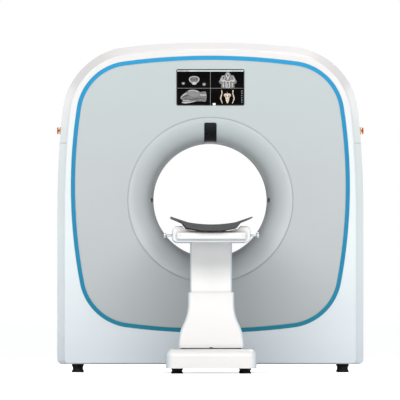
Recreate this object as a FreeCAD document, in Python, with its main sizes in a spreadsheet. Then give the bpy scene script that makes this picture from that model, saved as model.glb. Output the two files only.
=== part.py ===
"""Veterinary CT scanner: a ring gantry on four feet with a patient couch bolted in front of it.

Millimetres, +Z up, the couch towards -Y and the gantry towards +Y.  The origin is on the
floor under the middle of the whole footprint.  Every driving size sits in the sheet "sizes";
each piece binds its own sizes to those cells through the formulas below.
"""
import FreeCAD, Part
import math
import os
import re
import Sketcher

SIZES = {
    # overall layout
    "couch_reach": 1680,
    "gantry_depth": 720,
    "gantry_half_width": 766,
    "gantry_height": 1650,
    "under_height": 41,
    "face_lift": 2,
    "cut_margin": 50,
    "cut_past": 1,
    "crown_radius": 4075,
    "shoulder_radius": 361,
    "flank_radius": 4920,
    "flank_height": 800,
    "skirt_radius": 25,
    "skirt_lip": 76,
    # covers
    "cover_wall": 5,
    "rim_width": 34,
    "rim_depth": 45,
    "rim_wall": 6,
    "face_lip": 12,
    "face_edge": 8,
    "face_corner": 22,
    "flange_width": 36,
    "ledge_width": 12,
    "side_seam_height": 1147,
    "side_seam_gap": 1.5,
    "fit_gap": 0.3,
    "run_gap": 0.05,
    # front panel and its coloured band
    "band_half_width": 698,
    "band_width": 21,
    "band_top": 1584,
    "band_bottom": 198,
    "band_middle": 930,
    "band_side_radius": 2600,
    "band_crown_radius": 3250,
    "band_corner_radius": 275,
    "band_proud": 1,
    "panel_depth": 6,
    "panel_inset": 0.8,
    "panel_ledge": 25,
    # bore
    "bore_radius": 285,
    "bore_height": 862,
    "ring_bulge": 126,
    "ring_groove": 4,
    "ring_wall": 5,
    "ring_flange": 22,
    "liner_wall": 3,
    "sensor_width": 62,
    "sensor_corner": 9,
    "sensor_reach": 102,
    "window_proud": 0.6,
    "laser_height": 20,
    "laser_corner": 2,
    "laser_reach": 12,
    # display
    "display_width": 340,
    "display_tall": 182,
    "display_height": 1425,
    "display_body_depth": 32,
    "display_corner": 8,
    "display_rim": 3,
    "glass_depth": 3.5,
    "display_flange": 12,
    # emergency stops
    "stop_height": 1210,
    "stop_setback": 150,
    "stop_collar_radius": 19,
    "stop_collar_length": 9,
    "stop_sink": 2,
    "stop_barrel_radius": 11,
    "stop_barrel_length": 45,
    "stop_hole_depth": 60,
    "stop_head_radius": 17,
    "stop_head_length": 7,
    "stop_stem_radius": 6,
    "stop_travel": 4,
    # gantry feet
    "foot_radius": 29,
    "foot_waist": 25,
    "foot_rim_share": 0.2,
    "foot_waist_share": 0.35,
    "foot_spacing": 664,
    "foot_setback": 90,
    # gantry frame and rotor
    "frame_tall": 60,
    "frame_rail": 60,
    "frame_setback": 20,
    "stand_half_width": 640,
    "stand_top": 1400,
    "stand_corner": 220,
    "stand_setback": 510,
    "stand_plate": 20,
    "gusset_reach": 150,
    "gusset_tall": 480,
    "gusset_plate": 20,
    "bearing_inner_radius": 345,
    "bearing_split_radius": 390,
    "bearing_outer_radius": 430,
    "bearing_depth": 55,
    "rotor_radius": 645,
    "rotor_plate": 20,
    "rotor_space": 5,
    "rotor_hole_radius": 20,
    "rotor_hole_circle": 618,
    "rotor_hole_count": 24,
    "pulley_radius": 520,
    "pulley_band": 40,
    "pulley_depth": 30,
    "belt_width": 22,
    "belt_wall": 4,
    "motor_offset": 500,
    "motor_height": 230,
    "motor_radius": 75,
    "motor_length": 140,
    "motor_pulley_radius": 52,
    "motor_shaft_radius": 12,
    "shaft_clearance": 2,
    "shaft_end_gap": 5,
    "pulley_cheek": 2,
    "tube_radius": 95,
    "tube_length": 250,
    "tube_orbit": 500,
    "collimator_width": 180,
    "collimator_tall": 70,
    "collimator_length": 190,
    "beam_slot_end": 20,
    "beam_slot_half": 5,
    "detector_focus": 1000,
    "detector_wall": 55,
    "detector_half_angle": 25,
    "detector_length": 200,
    "box_near": 350,
    "box_far": 600,
    "box_half_tall": 130,
    "generator_length": 230,
    "cooler_length": 200,
    "cooler_fin_pitch": 26,
    "cooler_fin_slot": 12,
    "cooler_fin_depth": 60,
    "cooler_fin_lines": 4,
    "weight_radius": 60,
    "weight_length": 100,
    "weight_orbit": 540,
    "weight_angle": 35,
    "slip_inner_radius": 350,
    "slip_radius": 375,
    "slip_depth": 65,
    "brush_width": 90,
    "brush_length": 40,
    "power_near": 470,
    "power_far": 685,
    "power_tall": 280,
    "power_start": 100,
    "power_length": 330,
    "case_wall": 4,
    # rear services
    "fan_offset": 500,
    "fan_height": 1300,
    "fan_square": 160,
    "fan_radius": 70,
    "fan_depth": 36,
    "fan_hub_radius": 24,
    "fan_blade_count": 7,
    "fan_blade_wall": 4,
    "fan_blade_root": 2,
    "fan_gap": 1,
    "guard_slot": 8,
    "guard_pitch": 14,
    "guard_bar": 8,
    "guard_lines": 4,
    "inlet_offset": 450,
    "inlet_height": 200,
    "inlet_width": 80,
    "inlet_tall": 60,
    "inlet_depth": 60,
    "inlet_well": 40,
    "inlet_pin_radius": 4,
    "inlet_pin_offset": 12,
    "inlet_pin_rise": 8.4,
    "inlet_pin_drop": 6,
    "screw_radius": 6,
    "screw_head": 2.5,
    "screw_shank_radius": 3,
    "screw_length": 14,
    "screw_inset": 56,
    "screw_low": 150,
    "screw_middle": 460,
    "screw_crown_offset": 260,
    "screw_boss": 10,
    # couch base
    "couch_foot_height": 26,
    "couch_foot_spacing": 168,
    "couch_foot_inset": 90,
    "couch_frame_height": 41,
    "couch_base_half_width": 223,
    "couch_base_top": 121,
    "couch_base_corner": 35,
    "couch_base_start": 290,
    "couch_base_length": 1100,
    "couch_frame_tall": 25,
    "couch_rail": 90,
    "column_centre": 790,
    "column_length": 420,
    "column_half_width": 103,
    "sleeve_wall": 7,
    "sleeve_gap": 4,
    "sleeve_side_wall": 6.5,
    "neck_wall": 19,
    "neck_inset": 14,
    "sleeve_flare": 48.5,
    "sleeve_foot_height": 126,
    "sleeve_bend_low": 140,
    "sleeve_bend_high": 345,
    "sleeve_top_height": 400,
    "sleeve_edge": 16,
    "column_low": 250,
    "column_edge": 14,
    "column_head_plate": 6,
    "screw_tube_radius": 38,
    "screw_tube_top": 330,
    "lift_rod_radius": 24,
    "lift_rod_low": 200,
    "beam_half_width": 100,
    "beam_tall": 12,
    "bar_gap": 2,
    # couch head
    "head_low": 646,
    "head_tall": 80,
    "head_half_width": 192,
    "head_corner": 25,
    "head_start": 70,
    "head_length": 1500,
    "head_cap": 20,
    "trough_floor": 699,
    "trough_keel": 66,
    "trough_bilge": 132,
    "trough_bilge_height": 714,
    "trough_mouth": 144,
    "well_half_width": 96,
    "well_floor": 672,
    "beam_web": 8,
    "rail_offset": 62,
    "rail_width": 18,
    "rail_tall": 10,
    "pad_half_width": 172,
    "pad_low": 660,
    "pad_tall": 37,
    "pad_depth": 26,
    "pad_edge": 10,
    "knob_height": 681,
    "knob_setback": 170,
    "knob_stem_radius": 6,
    "knob_stem_length": 30,
    "knob_radius": 14,
    "knob_length": 13,
    "knob_inside": 60,
    # cradle
    "cradle_length": 1650,
    "cradle_keel_height": 703,
    "cradle_keel_half": 48,
    "cradle_bilge_half": 125,
    "cradle_bilge_height": 718,
    "cradle_root_half": 146,
    "cradle_root_height": 744,
    "cradle_tip_half": 201,
    "cradle_tip_low": 767,
    "cradle_tip_high": 773,
    "cradle_knee_half": 117,
    "cradle_knee_height": 745,
    "cradle_bowl_radius": 630,
    "carriage_half_width": 86,
    "carriage_start": 140,
    "carriage_length": 350,
}

FORMULAS = {
    "face_y": "(couch_reach - gantry_depth) / 2",
    "rear_y": "(couch_reach + gantry_depth) / 2",
    "couch_end_y": "-(couch_reach + gantry_depth) / 2",
    "rim_front_y": "face_y + face_lip",
    "rim_rear_y": "rear_y - face_lip",
    "ring_outer_radius": "bore_radius + ring_bulge",
    "panel_hole_radius": "ring_outer_radius + ring_groove",
    "liner_front_y": "face_y + ring_bulge",
    "liner_rear_y": "rear_y - ring_bulge",
    "frame_top": "under_height + frame_tall",
    "stand_y": "face_y + stand_setback",
    "rotor_back_y": "stand_y - bearing_depth - rotor_space",
    "rotor_front_y": "rotor_back_y - rotor_plate",
    "flank_drop": "flank_radius - sqrt(flank_radius^2 - (stop_height - flank_height)^2)",
    "stop_seat": "gantry_half_width - flank_drop - stop_sink",
    "stop_y": "face_y + stop_setback",
    "motor_rear_y": "stand_y + stand_plate + motor_length",
    "belt_front_y": "rotor_back_y + (pulley_depth - belt_width) / 2",
    "couch_base_y": "couch_end_y + couch_base_start",
    "couch_base_back_y": "couch_base_y + couch_base_length",
    "column_y": "couch_end_y + column_centre",
    "head_y": "couch_end_y + head_start",
    "head_back_y": "head_y + head_length",
    "head_high": "head_low + head_tall",
    "carriage_y": "couch_end_y + carriage_start",
    "knob_y": "head_y + knob_setback",
    "couch_frame_top": "couch_frame_height + couch_frame_tall",
    "rail_top": "well_floor + rail_tall",
    "frame_half_width": "gantry_half_width - skirt_lip",
    "sleeve_inner_half": "column_half_width + sleeve_gap",
    "sleeve_inner_length": "column_length / 2 + sleeve_gap",
    "sleeve_half_length": "sleeve_inner_length + sleeve_wall",
    "sleeve_rise": "sleeve_bend_high - sleeve_bend_low",
    "sleeve_top_half": "sleeve_inner_half + sleeve_side_wall",
    "sleeve_foot_half": "sleeve_top_half + sleeve_flare",
    "neck_half_width": "sleeve_inner_half + neck_wall",
    "sleeve_radius": "(sleeve_rise^2 + sleeve_flare^2) / (4 * sleeve_flare)",
    "sleeve_bend_half": "(sleeve_foot_half + sleeve_top_half) / 2",
    "sleeve_bend_height": "(sleeve_bend_low + sleeve_bend_high) / 2",
    "slip_back_y": "stand_y - rotor_space + slip_depth",
    "focus_height": "bore_height + tube_orbit",
    "detector_far": "detector_focus + detector_wall",
    "fan_back_y": "rear_y - panel_depth",
    "fan_front_y": "fan_back_y - fan_depth",
}

NEAR = 1e-3                                    # two lengths this close count as equal
AXLE_LENGTH = 100                              # a construction line, so any length does
UPPER_RIGHT = FreeCAD.Vector(1e3, 2e3, 0)      # far points that say which side a centre is on
LOWER_RIGHT = FreeCAD.Vector(1e3, -1e3, 0)

doc = FreeCAD.newDocument("ct_scanner")
sheet = doc.addObject("Spreadsheet::Sheet", "sizes")
for row, (name, size) in enumerate(SIZES.items(), start=1):
    sheet.set(f"A{row}", name)
    sheet.set(f"B{row}", str(size))
    sheet.setAlias(f"B{row}", name)
doc.recompute()

nodes = []


# Formulas and sketches
def formula(text):
    """The text with every size name turned into its cell, and every formula name written out."""
    def swap(match):
        word = match.group(0)
        if word in FORMULAS:
            return "(" + formula(FORMULAS[word]) + ")"
        return "sizes." + word if word in SIZES else word
    return re.sub(r"[a-z_]+", swap, str(text))


def number(text):
    return float(sheet.evalExpression(formula(text)))


def bind(thing, prop, text):
    thing.setExpression(prop, formula(text))


def newBody(name):
    body = doc.addObject("PartDesign::Body", name)
    body.Label = name
    return body


def sketchOn(body, plane, at, name):
    """A sketch on one of the body's own planes (XY, XZ or YZ), moved along it to the place `at`."""
    sketch = body.newObject("Sketcher::SketchObject", name)
    role = plane + "_Plane"
    flat = [feature for feature in body.Origin.OriginFeatures if feature.Role == role][0]
    sketch.AttachmentSupport = [(flat, "")]
    sketch.MapMode = "FlatFace"
    sign = "-" if plane == "XZ" else ""
    bind(sketch, "AttachmentOffset.Base.z", f"{sign}({at})")
    doc.recompute()
    return sketch


def pinPoint(sketch, edge, end, across, up):
    """Ties one end of an edge to the sketch origin by two sizes."""
    for kind, text in (("DistanceX", across), ("DistanceY", up)):
        index = sketch.addConstraint(Sketcher.Constraint(kind, -1, 1, edge, end, number(text)))
        sketch.setExpression(f"Constraints[{index}]", formula(text))


def sizeArc(sketch, edge, radius):
    index = sketch.addConstraint(Sketcher.Constraint("Radius", edge, number(radius)))
    sketch.setExpression(f"Constraints[{index}]", formula(radius))


def circle(sketch, across, up, radius):
    centre = FreeCAD.Vector(number(across), number(up), 0)
    edge = sketch.addGeometry(Part.Circle(centre, FreeCAD.Vector(0, 0, 1), number(radius)))
    pinPoint(sketch, edge, 3, across, up)
    sizeArc(sketch, edge, radius)


def outline(sketch, corners):
    """A closed loop, anticlockwise.  A corner is (across, up) or (across, up, radius): the
    radius belongs to the edge that leaves the corner, and is given as minus for a hollow one."""
    points = [FreeCAD.Vector(number(corner[0]), number(corner[1]), 0) for corner in corners]
    ends = []
    for index, corner in enumerate(corners):
        start, finish = points[index], points[(index + 1) % len(points)]
        if len(corner) == 2:
            ends.append((sketch.addGeometry(Part.LineSegment(start, finish)), 1, 2))
            continue
        hollow = corner[2].startswith("-")
        radius = corner[2].lstrip("-")
        if hollow:
            start, finish = finish, start
        chord = finish - start
        apothem = math.sqrt(max(number(radius) ** 2 - (chord.Length / 2) ** 2, 0))
        normal = FreeCAD.Vector(-chord.y, chord.x, 0).normalize()
        centre = (start + finish) / 2 + normal * apothem
        angles = [math.atan2(p.y - centre.y, p.x - centre.x) for p in (start, finish)]
        round_edge = Part.Circle(centre, FreeCAD.Vector(0, 0, 1), number(radius))
        edge = sketch.addGeometry(Part.ArcOfCircle(round_edge, angles[0], angles[1]))
        sizeArc(sketch, edge, radius)
        ends.append((edge, 2, 1) if hollow else (edge, 1, 2))
    for index, (edge, first, last) in enumerate(ends):
        following = ends[(index + 1) % len(ends)]
        sketch.addConstraint(Sketcher.Constraint("Coincident", edge, last, following[0], following[1]))
        pinPoint(sketch, edge, first, corners[index][0], corners[index][1])


def roundedBox(sketch, left, right, low, high, radius):
    """A rectangle with four equal round corners."""
    outline(sketch, [
        (f"({left}) + ({radius})", low),
        (f"({right}) - ({radius})", low, radius),
        (right, f"({low}) + ({radius})"),
        (right, f"({high}) - ({radius})", radius),
        (f"({right}) - ({radius})", high),
        (f"({left}) + ({radius})", high, radius),
        (left, f"({high}) - ({radius})"),
        (left, f"({low}) + ({radius})", radius),
    ])


def plainBox(sketch, left, right, low, high):
    outline(sketch, [(left, low), (right, low), (right, high), (left, high)])


def arcCentre(first, first_radius, second, second_radius, towards):
    """The centre at the given distances from two others, on the side nearest `towards`."""
    gap = second - first
    along = (first_radius ** 2 - second_radius ** 2 + gap.Length ** 2) / (2 * gap.Length)
    aside = math.sqrt(first_radius ** 2 - along ** 2)
    unit = FreeCAD.Vector(gap).normalize()
    foot = first + unit * along
    side = FreeCAD.Vector(-unit.y, unit.x, 0) * aside
    return min((foot + side, foot - side), key=lambda centre: (centre - towards).Length)


def tangentLoop(sketch, pieces):
    """A smooth closed loop of arcs and lines, anticlockwise.  Each piece is a dictionary with a
    starting guess (centre and radius, or the two ends) and the sizes that tie it down."""
    edges = []
    for piece in pieces:
        if "line" in piece:
            edges.append(sketch.addGeometry(Part.LineSegment(*piece["line"])))
        else:
            start, finish = piece["angles"]
            round_edge = Part.Circle(piece["centre"], FreeCAD.Vector(0, 0, 1), piece["size"])
            edges.append(sketch.addGeometry(Part.ArcOfCircle(round_edge, start, finish)))
    for index, edge in enumerate(edges):
        following = edges[(index + 1) % len(edges)]
        sketch.addConstraint(Sketcher.Constraint("Tangent", edge, 2, following, 1))
    for edge, piece in zip(edges, pieces):
        if "radius" in piece:
            sizeArc(sketch, edge, piece["radius"])
        if "at" in piece:
            pinPoint(sketch, edge, 3, *piece["at"])
        if "way" in piece:
            sketch.addConstraint(Sketcher.Constraint(piece["way"], edge))
        if "level" in piece:
            index = sketch.addConstraint(
                Sketcher.Constraint("DistanceY", -1, 1, edge, 1, number(piece["level"])))
            sketch.setExpression(f"Constraints[{index}]", formula(piece["level"]))


def flip(point):
    return FreeCAD.Vector(-point.x, point.y, 0)


def angleTo(centre, point):
    return math.atan2(point.y - centre.y, point.x - centre.x)


def archOutline(sketch, inset, low, square):
    """The gantry's outline, drawn in by `inset`: a bowed crown, round shoulders and flanks that
    swell towards the floor.  `low` is its underside; `square` is the radius of its low corners."""
    crown = FreeCAD.Vector(0, number("gantry_height - crown_radius"), 0)
    flank = FreeCAD.Vector(number("gantry_half_width - flank_radius"), number("flank_height"), 0)
    reach = number("shoulder_radius")
    shoulder = arcCentre(crown, number("crown_radius") - reach, flank,
                         number("flank_radius") - reach, UPPER_RIGHT)
    high, wide = angleTo(crown, shoulder), angleTo(flank, shoulder)
    width = number(f"gantry_half_width - ({inset})")
    floor, bend = number(low), number(square)
    rise = number("flank_height")
    corner = FreeCAD.Vector(width - bend, floor + bend, 0)
    crown_size = number(f"crown_radius - ({inset})")
    flank_size = number(f"flank_radius - ({inset})")
    tangentLoop(sketch, [
        {"line": (FreeCAD.Vector(bend - width, floor, 0), FreeCAD.Vector(width - bend, floor, 0)),
         "way": "Horizontal", "level": low},
        {"centre": corner, "size": bend, "angles": (-math.pi / 2, 0), "radius": square},
        {"line": (FreeCAD.Vector(width, floor + bend, 0), FreeCAD.Vector(width, rise, 0)),
         "way": "Vertical"},
        {"centre": flank, "size": flank_size, "angles": (0, wide),
         "radius": f"flank_radius - ({inset})", "at": ("gantry_half_width - flank_radius",
                                                       "flank_height")},
        {"centre": shoulder, "size": reach - number(inset), "angles": (wide, high),
         "radius": f"shoulder_radius - ({inset})"},
        {"centre": crown, "size": crown_size, "angles": (high, math.pi - high),
         "radius": f"crown_radius - ({inset})", "at": ("0", "gantry_height - crown_radius")},
        {"centre": flip(shoulder), "size": reach - number(inset),
         "angles": (math.pi - high, math.pi - wide), "radius": f"shoulder_radius - ({inset})"},
        {"centre": flip(flank), "size": flank_size, "angles": (math.pi - wide, math.pi),
         "radius": f"flank_radius - ({inset})", "at": ("flank_radius - gantry_half_width",
                                                       "flank_height")},
        {"line": (FreeCAD.Vector(-width, rise, 0), FreeCAD.Vector(-width, floor + bend, 0)),
         "way": "Vertical"},
        {"centre": flip(corner), "size": bend, "angles": (math.pi, 1.5 * math.pi),
         "radius": square},
    ])


def bandOutline(sketch, inset):
    """The front panel's soft square, drawn in by `inset`: four bowed sides and four corners."""
    top = FreeCAD.Vector(0, number("band_top - band_crown_radius"), 0)
    low = FreeCAD.Vector(0, number("band_bottom + band_crown_radius"), 0)
    side = FreeCAD.Vector(number("band_half_width - band_side_radius"), number("band_middle"), 0)
    bend = number("band_corner_radius")
    crown_reach = number("band_crown_radius") - bend
    side_reach = number("band_side_radius") - bend
    high = arcCentre(top, crown_reach, side, side_reach, UPPER_RIGHT)
    deep = arcCentre(low, crown_reach, side, side_reach, LOWER_RIGHT)
    crown_size = number(f"band_crown_radius - ({inset})")
    side_size = number(f"band_side_radius - ({inset})")
    corner_size = number(f"band_corner_radius - ({inset})")
    up, out = angleTo(top, high), angleTo(side, high)
    down, below = angleTo(low, deep), angleTo(side, deep)
    turn = math.pi
    arcs = [
        (side, side_size, (below, out), "band_side_radius",
         ("band_half_width - band_side_radius", "band_middle")),
        (high, corner_size, (out, up), "band_corner_radius", None),
        (top, crown_size, (up, turn - up), "band_crown_radius",
         ("0", "band_top - band_crown_radius")),
        (flip(high), corner_size, (turn - up, turn - out), "band_corner_radius", None),
        (flip(side), side_size, (turn - out, turn - below), "band_side_radius",
         ("band_side_radius - band_half_width", "band_middle")),
        (flip(deep), corner_size, (turn - below, turn - down), "band_corner_radius", None),
        (low, crown_size, (-turn - down, down), "band_crown_radius",
         ("0", "band_bottom + band_crown_radius")),
        (deep, corner_size, (down, below), "band_corner_radius", None),
    ]
    pieces = []
    for centre, size, angles, radius, place in arcs:
        piece = {"centre": centre, "size": size, "angles": angles,
                 "radius": f"{radius} - ({inset})"}
        if place:
            piece["at"] = place
        pieces.append(piece)
    tangentLoop(sketch, pieces)


# Features and plain solids
def checked(feature):
    doc.recompute()
    if "Invalid" in feature.State or "Error" in feature.State or feature.Shape.isNull():
        raise RuntimeError(f"{feature.Name}: {feature.State}")
    return feature


def pad(body, sketch, length, name="pad"):
    """Thickens a sketch along its plane's own normal (towards -Y for an XZ sketch)."""
    feature = body.newObject("PartDesign::Pad", name)
    feature.Profile = sketch
    bind(feature, "Length", length)
    return checked(feature)


def pocket(body, sketch, length, name="pocket"):
    """Cuts a sketch along its plane's own normal, the same way that pad() thickens it."""
    before = body.Shape.Volume
    feature = body.newObject("PartDesign::Pocket", name)
    feature.Profile = sketch
    feature.Reversed = True
    bind(feature, "Length", length)
    checked(feature)
    if feature.Shape.Volume > before - NEAR:
        raise RuntimeError(f"{body.Label}: {feature.Name} cuts nothing")
    return feature


def slab(body, draw, back, front, name="slab"):
    """A solid between two XZ planes, back to front, from the profile that `draw` sketches."""
    sketch = sketchOn(body, "XZ", back, name + "_profile")
    draw(sketch)
    return pad(body, sketch, f"({back}) - ({front})", name)


def cutSlab(body, draw, back, front, name="cut"):
    sketch = sketchOn(body, "XZ", back, name + "_profile")
    draw(sketch)
    return pocket(body, sketch, f"({back}) - ({front})", name)


def column(body, draw, low, high, name="column"):
    """A solid between two heights, from the plan that `draw` sketches."""
    sketch = sketchOn(body, "XY", low, name + "_plan")
    draw(sketch)
    return pad(body, sketch, f"({high}) - ({low})", name)


def cutColumn(body, draw, low, high, name="cut"):
    sketch = sketchOn(body, "XY", low, name + "_plan")
    draw(sketch)
    return pocket(body, sketch, f"({high}) - ({low})", name)


def turned(body, corners, name="turned"):
    """A solid turned about the bore's axis from corners given as (y, radius)."""
    sketch = sketchOn(body, "YZ", "0", name + "_section")
    outline(sketch, [(corner[0], f"bore_height + ({corner[1]})") + tuple(corner[2:])
                     for corner in corners])
    start = FreeCAD.Vector(0, number("bore_height"), 0)
    line = Part.LineSegment(start, start + FreeCAD.Vector(AXLE_LENGTH, 0, 0))
    axle = sketch.addGeometry(line, True)
    sketch.addConstraint(Sketcher.Constraint("Horizontal", axle))
    pinPoint(sketch, axle, 1, "0", "bore_height")
    sketch.addConstraint(Sketcher.Constraint("DistanceX", axle, 1, axle, 2, AXLE_LENGTH))
    feature = body.newObject("PartDesign::Revolution", name)
    feature.Profile = sketch
    feature.ReferenceAxis = (sketch, ["Axis0"])
    feature.Angle = 360
    return checked(feature)


def soften(body, radius, picks, kind="Fillet", name="soften"):
    """Rounds or bevels the edges of the body's last feature that `picks` accepts."""
    base = body.Tip
    edges = [f"Edge{index}" for index, edge in enumerate(base.Shape.Edges, start=1) if picks(edge)]
    feature = body.newObject("PartDesign::" + kind, name)
    feature.Base = (base, edges)
    if kind == "Fillet":
        bind(feature, "Radius", radius)
    else:
        bind(feature, "Size", radius)
    return checked(feature)


def edgesAt(axis, text):
    """Accepts the edges that lie wholly at one place along X, Y or Z."""
    place = number(text)

    def accept(edge):
        box = edge.BoundBox
        return (abs(getattr(box, axis + "Min") - place) < NEAR
                and abs(getattr(box, axis + "Max") - place) < NEAR)
    return accept


def rimsOf(radius):
    """Accepts the round edges of one radius."""
    size = number(radius)

    def accept(edge):
        return isinstance(edge.Curve, Part.Circle) and abs(edge.Curve.Radius - size) < NEAR
    return accept


def repeat(body, features, axis_sketch, count, name="pattern"):
    feature = body.newObject("PartDesign::PolarPattern", name)
    feature.Originals = features
    feature.Axis = axis_sketch
    feature.Angle = 360
    bind(feature, "Occurrences", count)
    body.Tip = feature
    return checked(feature)


def bridge(body, draws, ends, kind="AdditiveLoft", name="bridge"):
    """Adds or cuts a ruled solid between two XZ profiles, each drawn at its own end."""
    sketches = []
    for index, (draw, at) in enumerate(zip(draws, ends)):
        sketch = sketchOn(body, "XZ", at, f"{name}_profile_{index}")
        draw(sketch)
        sketches.append(sketch)
    feature = body.newObject("PartDesign::" + kind, name)
    feature.Profile = sketches[0]
    feature.Sections = sketches[1:]
    feature.Ruled = True
    return checked(feature)


def keep(thing):
    """Marks a finished piece as a node of its own."""
    nodes.append(thing)
    return thing


def block(name, left, right, front, back, low, high):
    thing = doc.addObject("Part::Box", name)
    thing.Label = name
    bind(thing, "Length", f"({right}) - ({left})")
    bind(thing, "Width", f"({back}) - ({front})")
    bind(thing, "Height", f"({high}) - ({low})")
    bind(thing, "Placement.Base.x", left)
    bind(thing, "Placement.Base.y", front)
    bind(thing, "Placement.Base.z", low)
    return thing


TURNS = {"Z": FreeCAD.Rotation(), "Y": FreeCAD.Rotation(FreeCAD.Vector(1, 0, 0), -90),
         "X": FreeCAD.Rotation(FreeCAD.Vector(0, 1, 0), 90)}


def rod(name, axis, start, radius, length):
    """A cylinder that begins at `start` (x, y, z) and runs towards + along the axis."""
    thing = doc.addObject("Part::Cylinder", name)
    thing.Label = name
    thing.Placement.Rotation = TURNS[axis]
    bind(thing, "Radius", radius)
    bind(thing, "Height", length)
    for letter, text in zip("xyz", start):
        bind(thing, f"Placement.Base.{letter}", text)
    return thing


def joined(name, shapes):
    thing = doc.addObject("Part::MultiFuse", name)
    thing.Label = name
    thing.Shapes = shapes
    return checked(thing)


def cutAway(name, base, tools):
    for index, tool in enumerate(tools):
        last = index == len(tools) - 1
        step = doc.addObject("Part::Cut", name if last else f"{name}_step_{index}")
        step.Label = step.Name
        step.Base = base
        step.Tool = tool
        base = checked(step)
    return base


def overlap(name, first, second):
    thing = doc.addObject("Part::Common", name)
    thing.Label = name
    thing.Base = first
    thing.Tool = second
    return checked(thing)


def group(name, solids):
    """Several identical loose solids that share one node."""
    thing = doc.addObject("Part::Compound", name)
    thing.Label = name
    thing.Links = solids
    return checked(thing)


# The gantry's covers
def makeShell():
    """The wrap-round skin of the gantry, before it is parted into a top and two sides."""
    skin = newBody("shell_skin")
    inside = "under_height + cover_wall"
    bend = "skirt_radius - cover_wall"

    def outer(inset):
        return lambda sketch: archOutline(sketch, inset, "under_height", "skirt_radius")

    def inner(inset):
        return lambda sketch: archOutline(sketch, inset, inside, bend)
    front, rear = "rim_front_y + rim_depth", "rim_rear_y - rim_depth"
    slab(skin, outer("0"), rear, front, "barrel")
    bridge(skin, (outer("0"), outer("rim_width")), (front, "rim_front_y"), name="front_rim")
    bridge(skin, (outer("0"), outer("rim_width")), (rear, "rim_rear_y"), name="rear_rim")
    cutSlab(skin, inner("cover_wall"), rear, front, "hollow")
    draws = (inner("cover_wall"), inner("cover_wall + rim_width"))
    bridge(skin, draws, (front, "rim_front_y + rim_wall"), "SubtractiveLoft", "front_slope")
    bridge(skin, draws, (rear, "rim_rear_y - rim_wall"), "SubtractiveLoft", "rear_slope")
    cutSlab(skin, inner("rim_width + flange_width"), "rim_front_y + rim_wall", "rim_front_y",
            "front_opening")
    cutSlab(skin, inner("rim_width + flange_width"), "rim_rear_y", "rim_rear_y - rim_wall",
            "rear_opening")
    return skin


def screwPlaces():
    """Where the rear cover's screws stand, as (across, up): six up the sides, three on top."""
    places = [(f"{side} * (gantry_half_width - screw_inset)", height)
              for side in (1, -1) for height in ("screw_low", "screw_middle", "flank_height")]
    for side in (-1, 0, 1):
        across = f"{side} * screw_crown_offset"
        bow = f"crown_radius - sqrt(crown_radius^2 - ({across})^2)"
        places.append((across, f"gantry_height - screw_inset - ({bow})"))
    return places


def makeGantryCovers():
    skin = makeShell()
    far = "gantry_half_width + cut_margin"
    middle_gap = "side_seam_gap / 2"
    shanks = [rod(f"screw_passage_{index}", "Y", (across, "rim_rear_y - screw_length", height),
                  "screw_shank_radius + fit_gap", "2 * screw_length")
              for index, (across, height) in enumerate(screwPlaces())]
    drilled = cutAway("drilled_skin", skin, [joined("screw_passages", shanks)])
    above = block("above_seam", f"-({far})", far, "face_y", "rear_y",
                  f"side_seam_height + {middle_gap}", "gantry_height + cut_margin")
    top = overlap("top_whole", drilled, above)
    tools = []
    for side, word in ((1, "right"), (-1, "left")):
        spot = "stop_seat" if side > 0 else f"-({far})"
        tools.append(rod(f"stop_spot_{word}", "X", (spot, "stop_y", "stop_height"),
                         "stop_collar_radius + fit_gap", f"({far}) - (stop_seat)"))
        hole = "stop_seat - stop_hole_depth" if side > 0 else f"-({far})"
        tools.append(rod(f"stop_hole_{word}", "X", (hole, "stop_y", "stop_height"),
                         "stop_barrel_radius + fit_gap", f"({far}) - (stop_seat) + stop_hole_depth"))
        near, wide = ("frame_half_width", far) if side > 0 else (f"-({far})", "-(frame_half_width)")
        beside = block(f"beside_{word}", near, wide, "face_y", "rear_y", "0",
                       f"side_seam_height - {middle_gap}")
        keep(overlap(f"side_cover_{word}", drilled, beside))
    keep(cutAway("top_cover", top, [joined("stop_cuts", tools)]))


def makeFrontCover():
    body = newBody("front_cover")
    edge = "rim_width + fit_gap"
    wall = "rim_width + fit_gap + cover_wall"
    slab(body, lambda s: archOutline(s, edge, "under_height + face_lift", "face_corner"),
         "rim_front_y", "face_y", "tray")
    soften(body, "face_edge", edgesAt("Y", "face_y"), name="face_round")
    cutSlab(body, lambda s: archOutline(s, wall, "under_height + face_lift + cover_wall", "face_corner"),
            "rim_front_y", "face_y + cover_wall", "hollow")
    slab(body, lambda s: bandOutline(s, "-ledge_width"), "rim_front_y", "face_y + cover_wall",
         "ledge")
    cutSlab(body, lambda s: bandOutline(s, "0"), "face_y + panel_depth", "face_y", "rebate")
    cutSlab(body, lambda s: bandOutline(s, "band_width + panel_ledge"), "rim_front_y", "face_y",
            "opening")
    keep(body)


def makeBandAndPanel():
    band = newBody("trim_band")
    seat = "face_y + panel_depth"
    slab(band, lambda s: bandOutline(s, "fit_gap"), seat, "face_y - band_proud", "strip")
    cutSlab(band, lambda s: bandOutline(s, "band_width"), seat, "face_y - band_proud", "inside")
    keep(band)
    panel = newBody("front_panel")
    front = "face_y + panel_inset"
    slab(panel, lambda s: bandOutline(s, "band_width + fit_gap"), seat, front, "plate")
    cutSlab(panel, lambda s: circle(s, "0", "bore_height", "panel_hole_radius"), seat, front,
            "ring_hole")
    half = "display_width / 2 + fit_gap"
    tall = "display_tall / 2 + fit_gap"
    cutSlab(panel, lambda s: roundedBox(s, f"-({half})", half, f"display_height - ({tall})",
                                        f"display_height + {tall}", "display_corner"),
            seat, front, "display_hole")
    keep(panel)


def windowBlock(name, left, right, low, high, corner):
    # a block through the bore ring with rounded corners, as deep as the ring
    body = newBody(name)
    slab(body, lambda s: roundedBox(s, left, right, low, high, corner), "liner_front_y",
         "face_y - cover_wall", "through")
    return body


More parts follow.
